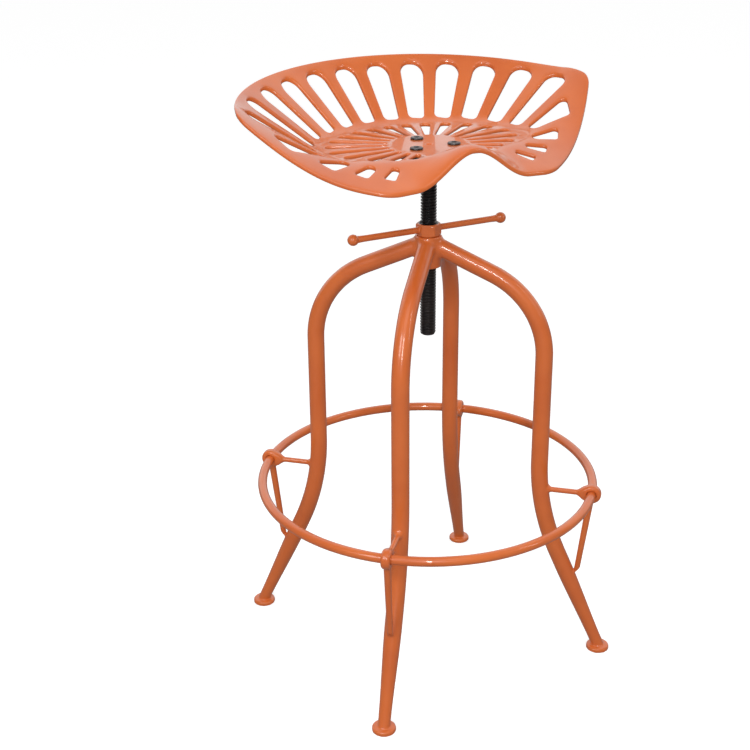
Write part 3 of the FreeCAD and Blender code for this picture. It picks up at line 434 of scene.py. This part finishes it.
# Brackets: small iron castings, each a level strut and a sloping brace that meet in a chamfered eye.
# The strut ends in a flange and the brace in a slanted heel, both welded to the leg.
eye_radius = 12.5 * mm
eye_width = 11.6 * mm
eye_chamfer = 2.2 * mm
eye_gap = 0.35 * mm
eye_edge = 0.8 * mm
strut_radius = 3.5 * mm
flange_radius = 6.2 * mm
flange_start = 162.5 * mm
flange_length = 5 * mm
fork_radius = 9 * mm
fork_length = 11 * mm
brace_top_radius = 4.6 * mm
brace_low_radius = 3.8 * mm
brace_foot = 112 * mm
brace_stand = 0.6 * mm
heel_length = 11 * mm
heel_edge = 1.5 * mm
casting_fillet = 4 * mm
weld_fillet = 3 * mm
weld_reach = 3.2 * mm
weld_edge, seam_edge = 0.2 * mm, 0.3 * mm
bracket_box = (0.150, -0.014, 0.098), (0.236, 0.014, 0.252)
bracket_voxel = 0.7 * mm
half_root = math.sqrt(0.5)
knee_x = leg_run + knee_bend * (1 - math.cos(knee_angle))
knee_z = knee_height - knee_bend * math.sin(knee_angle)
brace_x = (knee_x + (knee_z - brace_foot) * math.tan(knee_angle)
           + leg_radius / math.cos(knee_angle) + brace_stand)


def ramp(field, start, end, low, high):
    """eased change from low to high between two values of a field"""
    node = node_in(field.tree, "ShaderNodeMapRange", interpolation_type="SMOOTHSTEP", value=field.socket,
                   from_min=start, from_max=end, to_min=low, to_max=high)
    return Field(field.tree, node.outputs[0])


def leg_distance(x, y, z):
    """distance from the surface of the leg, in the leg's own plane y = 0, below the shoulder"""
    bent = far(x - (leg_run + knee_bend), z - knee_height) - knee_bend
    straight = (x - knee_x) * math.cos(knee_angle) + (z - knee_z) * math.sin(knee_angle)
    above = z.apply("GREATER_THAN", knee_z)
    off = bent * above + straight * (-above + 1.0)
    return far(off, y) - leg_radius


def bracket_shape(x, y, z, size):
    over = z - size["ring height"]
    width = y.apply("ABSOLUTE") - eye_width / 2
    rim = far(x - ring_radius, over) - size["eye radius"]
    bevel = (rim + width) * half_root + eye_chamfer * half_root
    eye = common(common(rim, width, eye_edge), bevel, eye_edge)
    fork_end = ring_radius - eye_radius * 0.75
    grown_by = (ramp(x, flange_start, flange_start + flange_length, flange_radius - strut_radius, 0.0)
                + ramp(x, fork_end - fork_length, fork_end, 0.0, fork_radius - strut_radius))
    strut = common(far(y, over) - size["strut radius"] - grown_by, x - ring_radius)
    strut = common(strut, -(x - leg_run))
    flat = common(strut, width, 2 * soft_edge)
    lean = math.atan2(ring_radius - brace_x, ring_height - brace_foot)
    length = math.hypot(ring_radius - brace_x, ring_height - brace_foot)
    along = (x - ring_radius) * -math.sin(lean) - over * math.cos(lean)
    across = (x - ring_radius) * math.cos(lean) - over * math.sin(lean)
    brace = far(across, y) - ramp(along, 0.0, length, brace_top_radius, brace_low_radius)
    slant = math.atan2(2 * brace_low_radius, heel_length)
    heel = ((along - (length - heel_length)) * math.sin(slant)
            + (across - brace_low_radius) * math.cos(slant))
    brace = common(common(brace, heel, heel_edge), -along)
    body = joined(joined(eye, flat, size["fillet"]), brace, size["fillet"])
    ring = far(far(x, y) - ring_radius, over) - (ring_rod + eye_gap)
    leg = leg_distance(x, y, z) + weld_sink
    welded = common(joined(body, leg, size["weld fillet"]), body - weld_reach, weld_edge)
    return common(welded, -ring, seam_edge)


bracket_turns = [leg_turn + 2 * math.pi * i / leg_count for i in range(leg_count)]
brackets = moulded("footrest_brackets", {
    "ring height": ring_height, "eye radius": eye_radius, "strut radius": strut_radius,
    "fillet": casting_fillet, "weld fillet": weld_fillet},
    bracket_shape, bracket_box, bracket_voxel, bracket_turns)
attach(brackets, "base")
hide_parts(*["footrest_bracket_%d" % (i + 1) for i in range(leg_count)])

# Feet: a thick steel disc under the toe of each leg, its upper edge sloped and softened.
# A fillet of weld joins the toe to it all round.
foot_radius = 15.15 * mm
foot_bevel = 3.2 * mm
foot_edge = 1.6 * mm
foot_weld = 4 * mm
toe_top = foot_thickness * 2.4
foot_lump, foot_grain = 0.3 * mm, 260.0
foot_box = (foot_reach - 0.017, -0.017, -0.001), (foot_reach + 0.017, 0.017, 0.018)
fine_voxel = 0.5 * mm


def foot_shape(x, y, z, size):
    side = far(x - foot_reach, y) - size["foot radius"]
    top = z - size["thickness"]
    bevel = (side + top) * half_root + foot_bevel * half_root / 2
    disc = common(common(side, top, foot_edge), bevel, foot_edge)
    disc = common(disc, -z, foot_edge / 2)
    toe = far((x - foot_reach) * math.cos(knee_angle) + top * math.sin(knee_angle), y)
    stub = common(toe - (toe_radius - weld_sink), z - toe_top)
    stub = common(stub, -(z - foot_thickness / 2))
    lump = uneven(z, foot_grain) * foot_lump
    return common(joined(disc, stub, size["weld"]) - lump, -z, seam_edge)


feet = moulded("foot_discs", {"foot radius": foot_radius, "thickness": foot_thickness, "weld": foot_weld},
               foot_shape, foot_box, fine_voxel, bracket_turns)
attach(feet, "base")
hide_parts(*["foot_%d" % (i + 1) for i in range(leg_count)])

# Lock: a hexagon nut that is spun down against the sleeve, with a rod welded to each of two flats.
# Each rod ends in a turned ball on a short cone, so that the nut can be loosened by hand.
nut_flats = 28 * mm
nut_bottom = 572.6 * mm
nut_height = 15.5 * mm
nut_chamfer = 1.9 * mm
nut_edge = 0.8 * mm
nut_lump, nut_grain = 0.2 * mm, 300.0
nut_box = (-0.022, -0.018, nut_bottom - 0.001), (0.022, 0.018, nut_bottom + nut_height + 0.001)
handle_turn = math.radians(-2.1)
handle_height = nut_bottom + 7.7 * mm
handle_rod = 4 * mm
handle_weld = 3.5 * mm
handle_stub = nut_flats / 2 + 6 * mm
handle_reach = 103 * mm
handle_ball = 7 * mm
handle_neck = 4.5 * mm
handle_cone = 10 * mm
handle_start = nut_flats * 0.4
handle_sides, rod_steps, cone_steps, ball_steps = 40, 20, 10, 21


def lock_shape(x, y, z, size):
    turned_x = x * math.cos(handle_turn) + y * math.sin(handle_turn)
    turned_y = y * math.cos(handle_turn) - x * math.sin(handle_turn)
    sides = turned_x.apply("ABSOLUTE")
    for angle in (math.radians(60), math.radians(120)):
        face = turned_x * math.cos(angle) + turned_y * math.sin(angle)
        sides = common(sides, face.apply("ABSOLUTE"), nut_edge)
    sides = sides - size["nut flats"] * 0.5
    level = (z - (nut_bottom + nut_height / 2)).apply("ABSOLUTE") - nut_height / 2
    radius = far(x, y)
    corner = nut_flats / 2 / math.cos(math.radians(30))
    slope = math.atan2(corner - nut_flats / 2, nut_chamfer)
    bevel = (radius - nut_flats / 2) * math.cos(slope) + level * math.sin(slope)
    nut = common(common(sides, level, bore_edge), bevel, bore_edge)
    off = far(turned_y, z - size["rod height"]) - size["rod radius"]
    rod = common(off, turned_x.apply("ABSOLUTE") - handle_stub)
    welded = joined(nut, rod, size["rod weld"]) - uneven(z, nut_grain) * nut_lump
    return common(welded, -(radius - size["bore"]), bore_edge)


nut = moulded("lock_nut_welds", {
    "nut flats": nut_flats, "rod height": handle_height, "rod radius": handle_rod - weld_sink,
    "rod weld": handle_weld, "bore": sleeve_bore}, lock_shape, nut_box, fine_voxel, (0,))
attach(nut, "lock")
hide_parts("lock_nut")


def turned_mesh(name, profile, steps, material):
    """(radius, height) points turned round the Z axis; a third value of 6 makes that ring a hexagon"""
    shape = bmesh.new()
    rings = []
    angles = [2 * math.pi * i / steps for i in range(steps)]
    for radius, height, *sides in profile:
        if radius < 1e-7:
            rings.append([shape.verts.new((0, 0, height))] * steps)
            continue
        half = math.pi / sides[0] if sides else 0
        reach = [radius / math.cos((a + half) % (2 * half) - half) if sides else radius for a in angles]
        rings.append([shape.verts.new((r * math.cos(a), r * math.sin(a), height))
                      for a, r in zip(angles, reach)])
    for lower, upper in zip(rings, rings[1:]):
        for i in range(steps):
            k = (i + 1) % steps
            corners = list(dict.fromkeys((lower[i], lower[k], upper[k], upper[i])))
            if len(corners) > 2:
                shape.faces.new(corners)
    bmesh.ops.recalc_face_normals(shape, faces=shape.faces)
    mesh = bpy.data.meshes.new(name)
    shape.to_mesh(mesh)
    shape.free()
    return new_object(name, mesh, material)


def handle_profile():
    """half outline of one arm, from inside the nut to the far side of the ball"""
    ball_start = handle_reach - math.sqrt(handle_ball ** 2 - handle_neck ** 2)
    cone_start = ball_start - handle_cone
    points = [(0, handle_start)]
    for i in range(rod_steps + 1):
        points.append((handle_rod, handle_start + (cone_start - handle_start) * i / rod_steps))
    for i in range(1, cone_steps + 1):
        share = i / cone_steps
        flare = (handle_neck - handle_rod) * share ** 1.6
        points.append((handle_rod + flare, cone_start + handle_cone * share))
    first = math.acos((ball_start - handle_reach) / handle_ball)
    for i in range(1, ball_steps):
        angle = first * (1 - i / ball_steps)
        points.append((handle_ball * math.sin(angle), handle_reach + handle_ball * math.cos(angle)))
    return points + [(0, handle_reach + handle_ball)]


for index in range(2):
    arm = turned_mesh("lock_arm_%d" % (index + 1), handle_profile(), handle_sides, orange_coat)
    lie_down = Matrix.Rotation(math.pi / 2, 4, "Y")
    swing = Matrix.Rotation(handle_turn + math.pi * index, 4, "Z")
    arm.data.transform(Matrix.Translation((0, 0, handle_height)) @ swing @ lie_down)
    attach(arm, "lock")
    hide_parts("lock_handle_%d" % (index + 1))

# Lift screw: a steel bar with a coarse rolled right-hand thread from end to end, blackened and oiled.
# Its lower end is rounded over, and its upper end sits in the collar of the mounting plate.
screw_radius = 10 * mm
screw_bottom = 440.7 * mm
screw_top = 681 * mm
thread_pitch = 3.8 * mm
thread_depth = 1.9 * mm
thread_land, thread_flank = 0.5, 0.95
thread_steps = 10
thread_sides = 56
end_round = 4.5 * mm


def black_material(name, dark, worn, metal, smooth, rough, grain):
    """blackened steel: nearly black, a little brown or grey in patches where it is rubbed"""
    steel = bpy.data.materials.new(name)
    steel.use_nodes = True
    tree = steel.node_tree
    where = node_in(tree, "ShaderNodeTexCoord").outputs["Object"]
    patches = node_in(tree, "ShaderNodeTexNoise", vector=where, scale=55.0, detail=4.0, roughness=0.65)
    colour = node_in(tree, "ShaderNodeValToRGB", fac=patches.outputs[0])
    for stop, place, shade in zip(colour.color_ramp.elements, (0.35, 0.75), (dark, worn)):
        stop.position = place
        stop.color = shade
    film = node_in(tree, "ShaderNodeMapRange", value=patches.outputs[0], to_min=smooth, to_max=rough)
    fine = node_in(tree, "ShaderNodeTexNoise", vector=where, scale=900.0, detail=2.0)
    bump = node_in(tree, "ShaderNodeBump", height=fine.outputs[0], strength=grain, distance=0.0002)
    fill_in(tree, tree.nodes["Principled BSDF"], base_color=colour.outputs[0], metallic=metal,
            roughness=film.outputs[0], normal=bump.outputs[0])
    return steel


black_screw = black_material("black_screw", (0.008, 0.007, 0.008, 1), (0.034, 0.024, 0.021, 1),
                             metal=0.3, smooth=0.2, rough=0.42, grain=0.2)


def thread_radius(height, turn):
    """radius of the thread's surface: flat crest, sloping flanks, rounded root"""
    phase = (height / thread_pitch - turn / (2 * math.pi)) % 1
    shape = thread_land + thread_flank * np.cos(2 * np.pi * phase)
    radius = screw_radius - thread_depth * (1 - np.clip(shape, 0, 1))
    for room in (height - screw_bottom, screw_top - height):
        share = np.clip(room / end_round, 0, 1)
        limit = screw_radius - end_round * 0.55 * (1 - np.sqrt(1 - (1 - share) ** 2))
        radius = np.minimum(radius, limit)
    return radius


rows = int((screw_top - screw_bottom) / thread_pitch * thread_steps)
heights = np.linspace(screw_bottom, screw_top, rows + 1)
turns = np.arange(thread_sides) * 2 * math.pi / thread_sides
wound_height, wound_turn = np.meshgrid(heights, turns, indexing="ij")
wound_radius = thread_radius(wound_height, wound_turn)
wound_x, wound_y = wound_radius * np.cos(wound_turn), wound_radius * np.sin(wound_turn)
points = np.stack([wound_x, wound_y, wound_height], axis=-1).reshape(-1, 3)
points = [tuple(p) for p in points] + [(0, 0, screw_bottom), (0, 0, screw_top)]
faces = []
for i in range(thread_sides):
    k = (i + 1) % thread_sides
    for row in range(rows):
        first, second = row * thread_sides, (row + 1) * thread_sides
        faces.append((first + i, first + k, second + k, second + i))
    faces.append((len(points) - 2, k, i))
    faces.append((len(points) - 1, rows * thread_sides + i, rows * thread_sides + k))
screw_mesh = bpy.data.meshes.new("lift_thread")
screw_mesh.from_pydata(points, [], faces)
screw = new_object("lift_thread", screw_mesh, black_screw)
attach(screw, "lift")
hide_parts("lift_screw")

# Shade ring: a thin flat ring of the black screw steel laid on the top of the lock nut, round the screw.
# It is painted shade: a dark ring standing in for the shadow inside the nut's chamfered bore.
painted_shade_ring = 12.4 * mm
shade_ring_sides = 64
shade_ring_height = nut_bottom + nut_height
shade_ring = turned_mesh("painted_shade_ring", [
    (sleeve_bore, shade_ring_height - 2 * mm), (sleeve_bore, shade_ring_height + 0.2 * mm),
    (sleeve_bore + 0.5 * mm, shade_ring_height + 0.5 * mm), (painted_shade_ring - 0.6 * mm, shade_ring_height + 0.5 * mm),
    (painted_shade_ring, shade_ring_height + 0.1 * mm), (painted_shade_ring, shade_ring_height - 1 * mm),
    (sleeve_bore, shade_ring_height - 2 * mm)], shade_ring_sides, black_screw)
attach(shade_ring, "lock")

# Seat pan: one iron casting, dished to the sitter, its rim low at the front and drawn up behind.
# A ring of narrow slots is cast in its floor and a fan of wide ones up its wall; every edge is soft.
# Its sizes are in millimetres, seen from above with the screw at the middle and the front at -Y.
seat_height = 686.5
pan_thickness = 5.0
edge_round = 1.9
edge_steps = 3
oval_half_width, oval_half_depth, oval_setback = 246.5, 231.0, -35.0
corner_round = 23.0
flank_radius, flank_angle = 512.0, math.radians(31.4)
lobe_reach, lobe_round, front_line = 108.0, 52.0, -107.0
fold_half_width, fold_rear, fold_front, fold_centre, fold_share = 125.0, 98.0, 75.0, 12.0, 0.22
rear_rim, side_rim, side_line, lobe_rim = 762.0, 748.0, 50.0, 667.0
pommel_rise, pommel_half, pommel_start = 36.0, 77.0, 45.0
inner_slots, inner_step, inner_start, inner_narrow, inner_wide = 21, 13.6, 51.0, 5.0, 13.5
outer_slots, outer_step, outer_spread, outer_length = 10, 13.33, 5.0, 10.0
outer_narrow, outer_wide, outer_corner, end_lean = 20.0, 32.0, 6.0, 0.6
outer_start, flank_start, outer_bar, flank_bar = 14.2, 22.0, 9.0, 16.0
rear_margin, flank_margin, flank_from, flank_over = 8.6, 28.0, 76.0, 14.0
slot_heel, slot_tip, flank_tip, lean_step = 0.45, 0.4, 0.22, math.radians(4)
plan_sharpness, shape_sharpness = 30, 10
plan_grid, grid_room = 4.6, 0.6
outline_spacing, corner_spacing, side_spacing = 4, 1.6, 4
halvings = 50
dimple_radius, dimple_depth = 4.4, 3.4
flank_x = lobe_reach - flank_radius * math.sin(flank_angle)
flank_y = front_line + flank_radius * math.cos(flank_angle)


def oval_distance(across, along, centre, half_width, half_depth):
    """from the screw in a direction to an oval centred on the Y axis"""
    a = (across / half_width) ** 2 + (along / half_depth) ** 2
    b = -2 * along * centre / half_depth ** 2
    c = (centre / half_depth) ** 2 - 1
    return (np.sqrt(np.maximum(b * b - 4 * a * c, 0)) - b) / (2 * a)


def edge_distance(across, along, sharpness):
    """from the screw to the edge of the pan, its corners blended by a power mean"""
    across = np.abs(across)
    rear = oval_distance(across, along, oval_setback, oval_half_width, oval_half_depth)
    toward = across * flank_x + along * flank_y
    flank = toward + np.sqrt(toward ** 2 - flank_x ** 2 - flank_y ** 2 + flank_radius ** 2)
    total = rear ** -sharpness + flank ** -sharpness
    front = front_line / np.minimum(along, -1e-6)
    return (total + np.where(along < 0, front, np.inf) ** -sharpness) ** (-1 / sharpness)


def fold_distance(across, along):
    """from the screw to the fold where the floor starts to rise"""
    rear = oval_distance(across, along, fold_centre, fold_half_width, fold_rear)
    front = oval_distance(across, along, fold_centre, fold_half_width, fold_front)
    return np.where(rear * along >= fold_centre, rear, front)


def pan_height(x, y):
    """height of the upper surface over points of the plan"""
    radius = np.maximum(np.hypot(x, y), 1e-3)
    across, along = x / radius, np.where(radius > 1e-3, y / radius, 1.0)
    edge = edge_distance(across, along, shape_sharpness)
    fold = fold_distance(across, along)
    share = (radius - fold) / (edge - fold)
    bend = np.maximum(share, 0) ** 2 / (2 * fold_share)
    climb = np.where(share < fold_share, bend, share - fold_share / 2) / (1 - fold_share / 2)
    rim_y = along * edge
    eased = (1 - np.cos(np.pi * np.clip((rim_y - front_line) / (side_line - front_line), 0, 1))) / 2
    behind = np.maximum(rim_y - side_line, 0) / (oval_setback + oval_half_depth - side_line)
    rim = lobe_rim + (side_rim - lobe_rim) * eased + (rear_rim - side_rim) * behind
    forward = np.clip((-y - pommel_start) / (-front_line - pommel_start), 0, 1)
    middle = np.clip(np.abs(x) / pommel_half, 0, 1)
    pommel = pommel_rise * (1 - np.cos(np.pi * forward)) / 2 * (1 + np.cos(np.pi * middle)) / 2
    return seat_height + (rim - seat_height) * climb + pommel


def upright_thickness(x, y):
    """wall measured straight down, from the wall measured square to the surface"""
    step = 0.5
    slope_x = (pan_height(x + step, y) - pan_height(x - step, y)) / (2 * step)
    slope_y = (pan_height(x, y + step) - pan_height(x, y - step)) / (2 * step)
    return pan_thickness * np.sqrt(1 + slope_x ** 2 + slope_y ** 2)


def arc(centre, radius, start, end, spacing, inward=1):
    """(point, direction into the metal) along an arc, without its last point"""
    count = max(int(abs(end - start) * radius / spacing), 4)
    found = []
    for i in range(count):
        angle = start + (end - start) * i / count
        ray = np.array([math.cos(angle), math.sin(angle)])
        found.append((np.array(centre) + ray * radius, -ray * inward))
    return found


def straight(start, end, normal, spacing):
    """the same along a line"""
    count = max(int(math.dist(start, end) / spacing), 1)
    return [(np.array(start) + (np.array(end) - np.array(start)) * i / count, np.array(normal))
            for i in range(count)]


def angle_of(vector):
    return math.atan2(vector[1], vector[0])


def oval_corner(t):
    """centre of the corner's arc where it leaves the oval at parameter t, and the normal there"""
    normal = np.array([math.cos(t) / oval_half_width, math.sin(t) / oval_half_depth])
    normal = normal / np.linalg.norm(normal)
    on_oval = np.array([oval_half_width * math.cos(t), oval_setback + oval_half_depth * math.sin(t)])
    return on_oval - normal * corner_round, normal


def pan_outline(spacing):
    """the pan's edge, anticlockwise from the middle of the front"""
    flank = np.array([flank_x, flank_y])
    lobe_y = front_line + lobe_round
    lobe_out = math.sqrt((flank_radius - lobe_round) ** 2 - (lobe_y - flank_y) ** 2)
    lobe = np.array([flank_x + lobe_out, lobe_y])
    low, high = 0.0, math.pi / 2
    for step in range(halvings):
        t = (low + high) / 2
        if np.linalg.norm(oval_corner(t)[0] - flank) > flank_radius - corner_round:
            low = t
        else:
            high = t
    corner, normal = oval_corner(t)
    lobe_turn, corner_turn = angle_of(lobe - flank), angle_of(corner - flank)
    half = straight((0, front_line), (lobe[0], front_line), (0, 1), spacing)
    half += arc(lobe, lobe_round, -math.pi / 2, lobe_turn, spacing)
    half += arc(flank, flank_radius, lobe_turn, corner_turn, spacing)
    half += arc(corner, corner_round, corner_turn, angle_of(normal), spacing / 2)
    count = int((math.pi / 2 - t) * oval_half_width / spacing)
    for i in range(count):
        angle = t + (math.pi / 2 - t) * i / count
        centre, ray = oval_corner(angle)
        half.append((centre + ray * corner_round, -ray))
    half.append((np.array([0, oval_setback + oval_half_depth]), np.array([0, -1])))
    mirror = np.array([-1, 1])
    return half + [(point * mirror, ray * mirror) for point, ray in half[-2:0:-1]]


def slot_loop(start, end, direction, narrow, wide, corner, tip, lean):
    """a slot's edge: four rounded corners, the outer end leaning with the edge of the pan"""
    length, slant, heel = end - start, lean * wide / 2, min(corner, slot_heel * narrow)
    corners = [((0, narrow / 2), heel), ((length + slant, wide / 2), tip * wide),
               ((length - slant, -wide / 2), tip * wide), ((0, -narrow / 2), heel)]
    turns = []
    for i, (vertex, radius) in enumerate(corners):
        before = np.subtract(corners[i - 1][0], vertex)
        after = np.subtract(corners[(i + 1) % 4][0], vertex)
        before, after = before / np.linalg.norm(before), after / np.linalg.norm(after)
        half = math.acos(before @ after) / 2
        centre = vertex + (before + after) / np.linalg.norm(before + after) * radius / math.sin(half)
        first = vertex + before * radius / math.tan(half) - centre
        last = vertex + after * radius / math.tan(half) - centre
        sweep = (angle_of(last) - angle_of(first) + math.pi) % (2 * math.pi) - math.pi
        turns.append((centre, radius, angle_of(first), sweep, first / radius, last / radius))
    loop = []
    for i, (centre, radius, first, sweep, entry, leave) in enumerate(turns):
        following = turns[(i + 1) % 4]
        loop += arc(centre, radius, first, first + sweep, corner_spacing, -1)
        touch = following[0] + following[4] * following[1]
        loop += straight(centre + leave * radius, touch, leave, side_spacing)
    cosine, sine = direction
    turn = np.array([[cosine, -sine], [sine, cosine]])
    shift = np.array(direction) * start
    return [(turn @ point + shift, turn @ ray) for point, ray in loop]


def slot_loops():
    """every slot of the pan: the ring in the floor, then the fan up the wall on both sides"""
    loops = []
    for index in range(inner_slots):
        angle = math.radians(inner_step * (index - (inner_slots - 1) / 2))
        ray = math.sin(angle), math.cos(angle)
        end = max(float(fold_distance(*ray)), inner_start + 2 * inner_wide)
        loops.append(slot_loop(inner_start, end, ray, inner_narrow, inner_wide, inner_narrow, slot_tip, 0))
    for index in range(outer_slots):
        even = math.radians(outer_step * (index + 0.5))
        angle = even + math.radians(outer_spread) * (math.sin(even) + math.sin(2 * even) / 4)
        flank = min(max((math.degrees(angle) - flank_from) / flank_over, 0), 1)
        begin, bar, tip, margin = (rear + (side - rear) * flank for rear, side in (
            (outer_start, flank_start), (outer_bar, flank_bar),
            (slot_tip, flank_tip), (rear_margin, flank_margin)))
        edge, behind, ahead = (float(edge_distance(math.sin(turn), math.cos(turn), plan_sharpness))
                               for turn in (angle, angle - lean_step, angle + lean_step))
        lean = end_lean * (behind - ahead) / (2 * edge * math.sin(lean_step))
        start = float(fold_distance(math.sin(angle), math.cos(angle))) + begin
        end = max(edge - margin, start + outer_length)
        room = 2 * math.sin(math.radians(outer_step / 2))
        wide, narrow = min(outer_wide, end * room - bar), min(outer_narrow, start * room - bar)
        for side in (1, -1):
            ray = math.sin(angle) * side, math.cos(angle)
            loops.append(slot_loop(start, end, ray, narrow, wide, outer_corner, tip, lean * side))
    return loops


def in_metal(points, loops):
    """which points lie between the outline and the slots, by counting crossings"""
    inside = np.zeros(len(points), bool)
    for loop in loops:
        low, high = loop.min(axis=0), loop.max(axis=0)
        near = np.nonzero(((points > low) & (points < high)).all(axis=1))[0]
        x, y = points[near, 0][:, None], points[near, 1][:, None]
        ax, ay = loop[:, 0], loop[:, 1]
        bx, by = np.roll(ax, -1), np.roll(ay, -1)
        crossed = (ay > y) != (by > y)
        meets = ax + (y - ay) * (bx - ax) / np.where(by == ay, 1e-9, by - ay)
        inside[near] ^= (crossed & (x < meets)).sum(axis=1) % 2 == 1
    return inside


def pan_mesh():
    """upper and lower skins on one triangulated plan, joined by softened edges round every loop"""
    loops = [pan_outline(outline_spacing)] + slot_loops()
    bases = [np.array([point for point, ray in loop]) for loop in loops]
    rays = [np.array([ray for point, ray in loop]) for loop in loops]
    rims = [base + ray * edge_round for base, ray in zip(bases, rays)]
    xs = np.arange(-oval_half_width, oval_half_width, plan_grid)
    ys = np.arange(front_line, oval_setback + oval_half_depth, plan_grid * math.sqrt(0.75))
    grid_x, grid_y = np.meshgrid(xs, ys)
    grid_x = grid_x + (np.arange(len(ys)) % 2 * plan_grid / 2)[:, None]
    grid = np.stack([grid_x.ravel(), grid_y.ravel()], axis=1)
    grid = grid[in_metal(grid, rims)]
    edge_points = np.concatenate(rims)
    clear = np.array([np.min(np.hypot(*(edge_points - p).T)) > plan_grid * grid_room for p in grid])
    clear &= np.hypot(*grid.T) > 2 * dimple_radius
    rounds = [(0.0, 0.0)] + [(dimple_radius * r / 4 * math.cos(a), dimple_radius * r / 4 * math.sin(a))
                             for r in range(1, 8) for a in np.arange(4 * r + 6) * 2 * math.pi / (4 * r + 6)]
    plan = np.concatenate([edge_points, grid[clear], rounds])
    starts = np.cumsum([0] + [len(rim) for rim in rims])
    borders = [(start + i, start + (i + 1) % len(rim))
               for start, rim in zip(starts, rims) for i in range(len(rim))]
    made = delaunay_2d_cdt([Vector(p) for p in plan], borders, [], 0, 1e-6)
    plan = np.array([tuple(p) for p in made[0]])
    triangles = np.array(made[2])
    triangles = triangles[in_metal(plan[triangles].mean(axis=1), rims)]
    home = {source: i for i, sources in enumerate(made[3]) for source in sources}
    top = pan_height(plan[:, 0], plan[:, 1])
    under = top - upright_thickness(plan[:, 0], plan[:, 1])
    top = top - dimple_depth * np.exp(-(np.hypot(*plan.T) / dimple_radius) ** 4 * 2)
    points = [np.column_stack([plan, top]), np.column_stack([plan, under])]
    total = 2 * len(plan)
    faces = [tuple(t) for t in triangles] + [tuple(t[::-1] + len(plan)) for t in triangles]
    for start, base, ray in zip(starts, bases, rays):
        ring = np.array([home[start + i] for i in range(len(base))])
        rows = [ring]
        for upper in (True, False):
            steps = range(1, edge_steps + 1) if upper else range(edge_steps, 0, -1)
            for k in steps:
                angle = math.pi / 2 * k / edge_steps
                place = base + ray * edge_round * (1 - math.sin(angle))
                height = pan_height(place[:, 0], place[:, 1])
                drop = edge_round * (1 - math.cos(angle))
                if upper:
                    height = height - drop
                else:
                    height = height - upright_thickness(place[:, 0], place[:, 1]) + drop
                points.append(np.column_stack([place, height]))
                rows.append(np.arange(total, total + len(base)))
                total += len(base)
        rows.append(ring + len(plan))
        for first, second in zip(rows, rows[1:]):
            for i in range(len(base)):
                k = (i + 1) % len(base)
                faces.append((first[i], first[k], second[k], second[i]))
    mesh = bpy.data.meshes.new("seat_casting")
    points = (np.concatenate(points) * mm).tolist()
    mesh.from_pydata(points, [], [tuple(int(i) for i in face) for face in faces])
    shape = bmesh.new()
    shape.from_mesh(mesh)
    bmesh.ops.recalc_face_normals(shape, faces=shape.faces)
    shape.to_mesh(mesh)
    shape.free()
    return mesh


seat_casting = new_object("seat_casting", pan_mesh(), orange_coat)
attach(seat_casting, "seat")
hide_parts("seat_pan")

# Seat bolts: three button heads with a hexagon recess, blackened, through the pan and the plate.
# One sits at the rear of the screw and one at each side in front of it.
bolt_count = 3
bolt_circle = 30 * mm
bolt_shank = 4 * mm
bolt_head = 8 * mm
bolt_dome = 2.6 * mm
bolt_rim = 1.5 * mm
bolt_socket = 3.2 * mm
bolt_land = bolt_socket * 1.3
socket_floor = 0.8 * mm
bolt_end = 668 * mm
bolt_sides, dome_steps = 48, 8
pan_top = seat_height * mm
black_bolt = black_material("black_bolt", (0.06, 0.06, 0.065, 1), (0.14, 0.14, 0.14, 1),
                            metal=0.85, smooth=0.2, rough=0.34, grain=0.1)

bolt_profile = [
    (0, bolt_end), (bolt_shank - 0.8 * mm, bolt_end), (bolt_shank, bolt_end + 0.8 * mm),
    (bolt_shank, pan_top - 1 * mm), (bolt_shank, pan_top), (bolt_head - 0.2 * mm, pan_top),
    (bolt_head, pan_top + 0.2 * mm), (bolt_head, pan_top + bolt_rim)]
for i in range(1, dome_steps + 1):
    share = i / dome_steps
    width = bolt_head + (bolt_land - bolt_head) * share ** 1.6
    rise = (bolt_dome - bolt_rim) * math.sin(math.pi / 2 * share ** 0.6)
    bolt_profile.append((width, pan_top + bolt_rim + rise))
bolt_profile += [
    (bolt_socket + 0.15 * mm, pan_top + bolt_dome, 6), (bolt_socket, pan_top + bolt_dome - 0.2 * mm, 6),
    (bolt_socket, pan_top + socket_floor, 6), (bolt_socket * 0.6, pan_top + socket_floor, 6),
    (0, pan_top + 0.5 * mm)]
one_bolt = turned_mesh("one_bolt", bolt_profile, bolt_sides, black_bolt)
bolt_sizes = {"bolt circle": bolt_circle, "first turn": math.pi / 2}
tree, given = growing_tree("bolt_ring", bolt_sizes)
stations = node_in(tree, "GeometryNodeMeshCircle", vertices=bolt_count, radius=given["bolt circle"])
set_out = node_in(tree, "GeometryNodeInstanceOnPoints",
                  points=stations.outputs[0], instance=given["Geometry"])
first_turn = node_in(tree, "ShaderNodeCombineXYZ", z=given["first turn"])
turned = node_in(tree, "GeometryNodeTransform", geometry=set_out.outputs[0], rotation=first_turn.outputs[0])
seat_bolts = grown("button_bolts", one_bolt.data, tree, turned, bolt_sizes, black_bolt)
bpy.data.objects.remove(one_bolt)
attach(seat_bolts, "seat")
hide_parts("seat_bolts")

# Plate and nuts under the pan: a round plate with a collar, painted a satin black, and three plain nuts.
# Their shapes are the construction model's own.
black_plate = black_material("black_plate", (0.014, 0.013, 0.013, 1), (0.030, 0.028, 0.027, 1),
                             metal=0.0, smooth=0.38, rough=0.55, grain=0.35)
for name, metal in (("mounting_plate", black_plate), ("seat_nuts", black_bolt)):
    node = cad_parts[name]
    node.data.materials.clear()
    node.data.materials.append(metal)
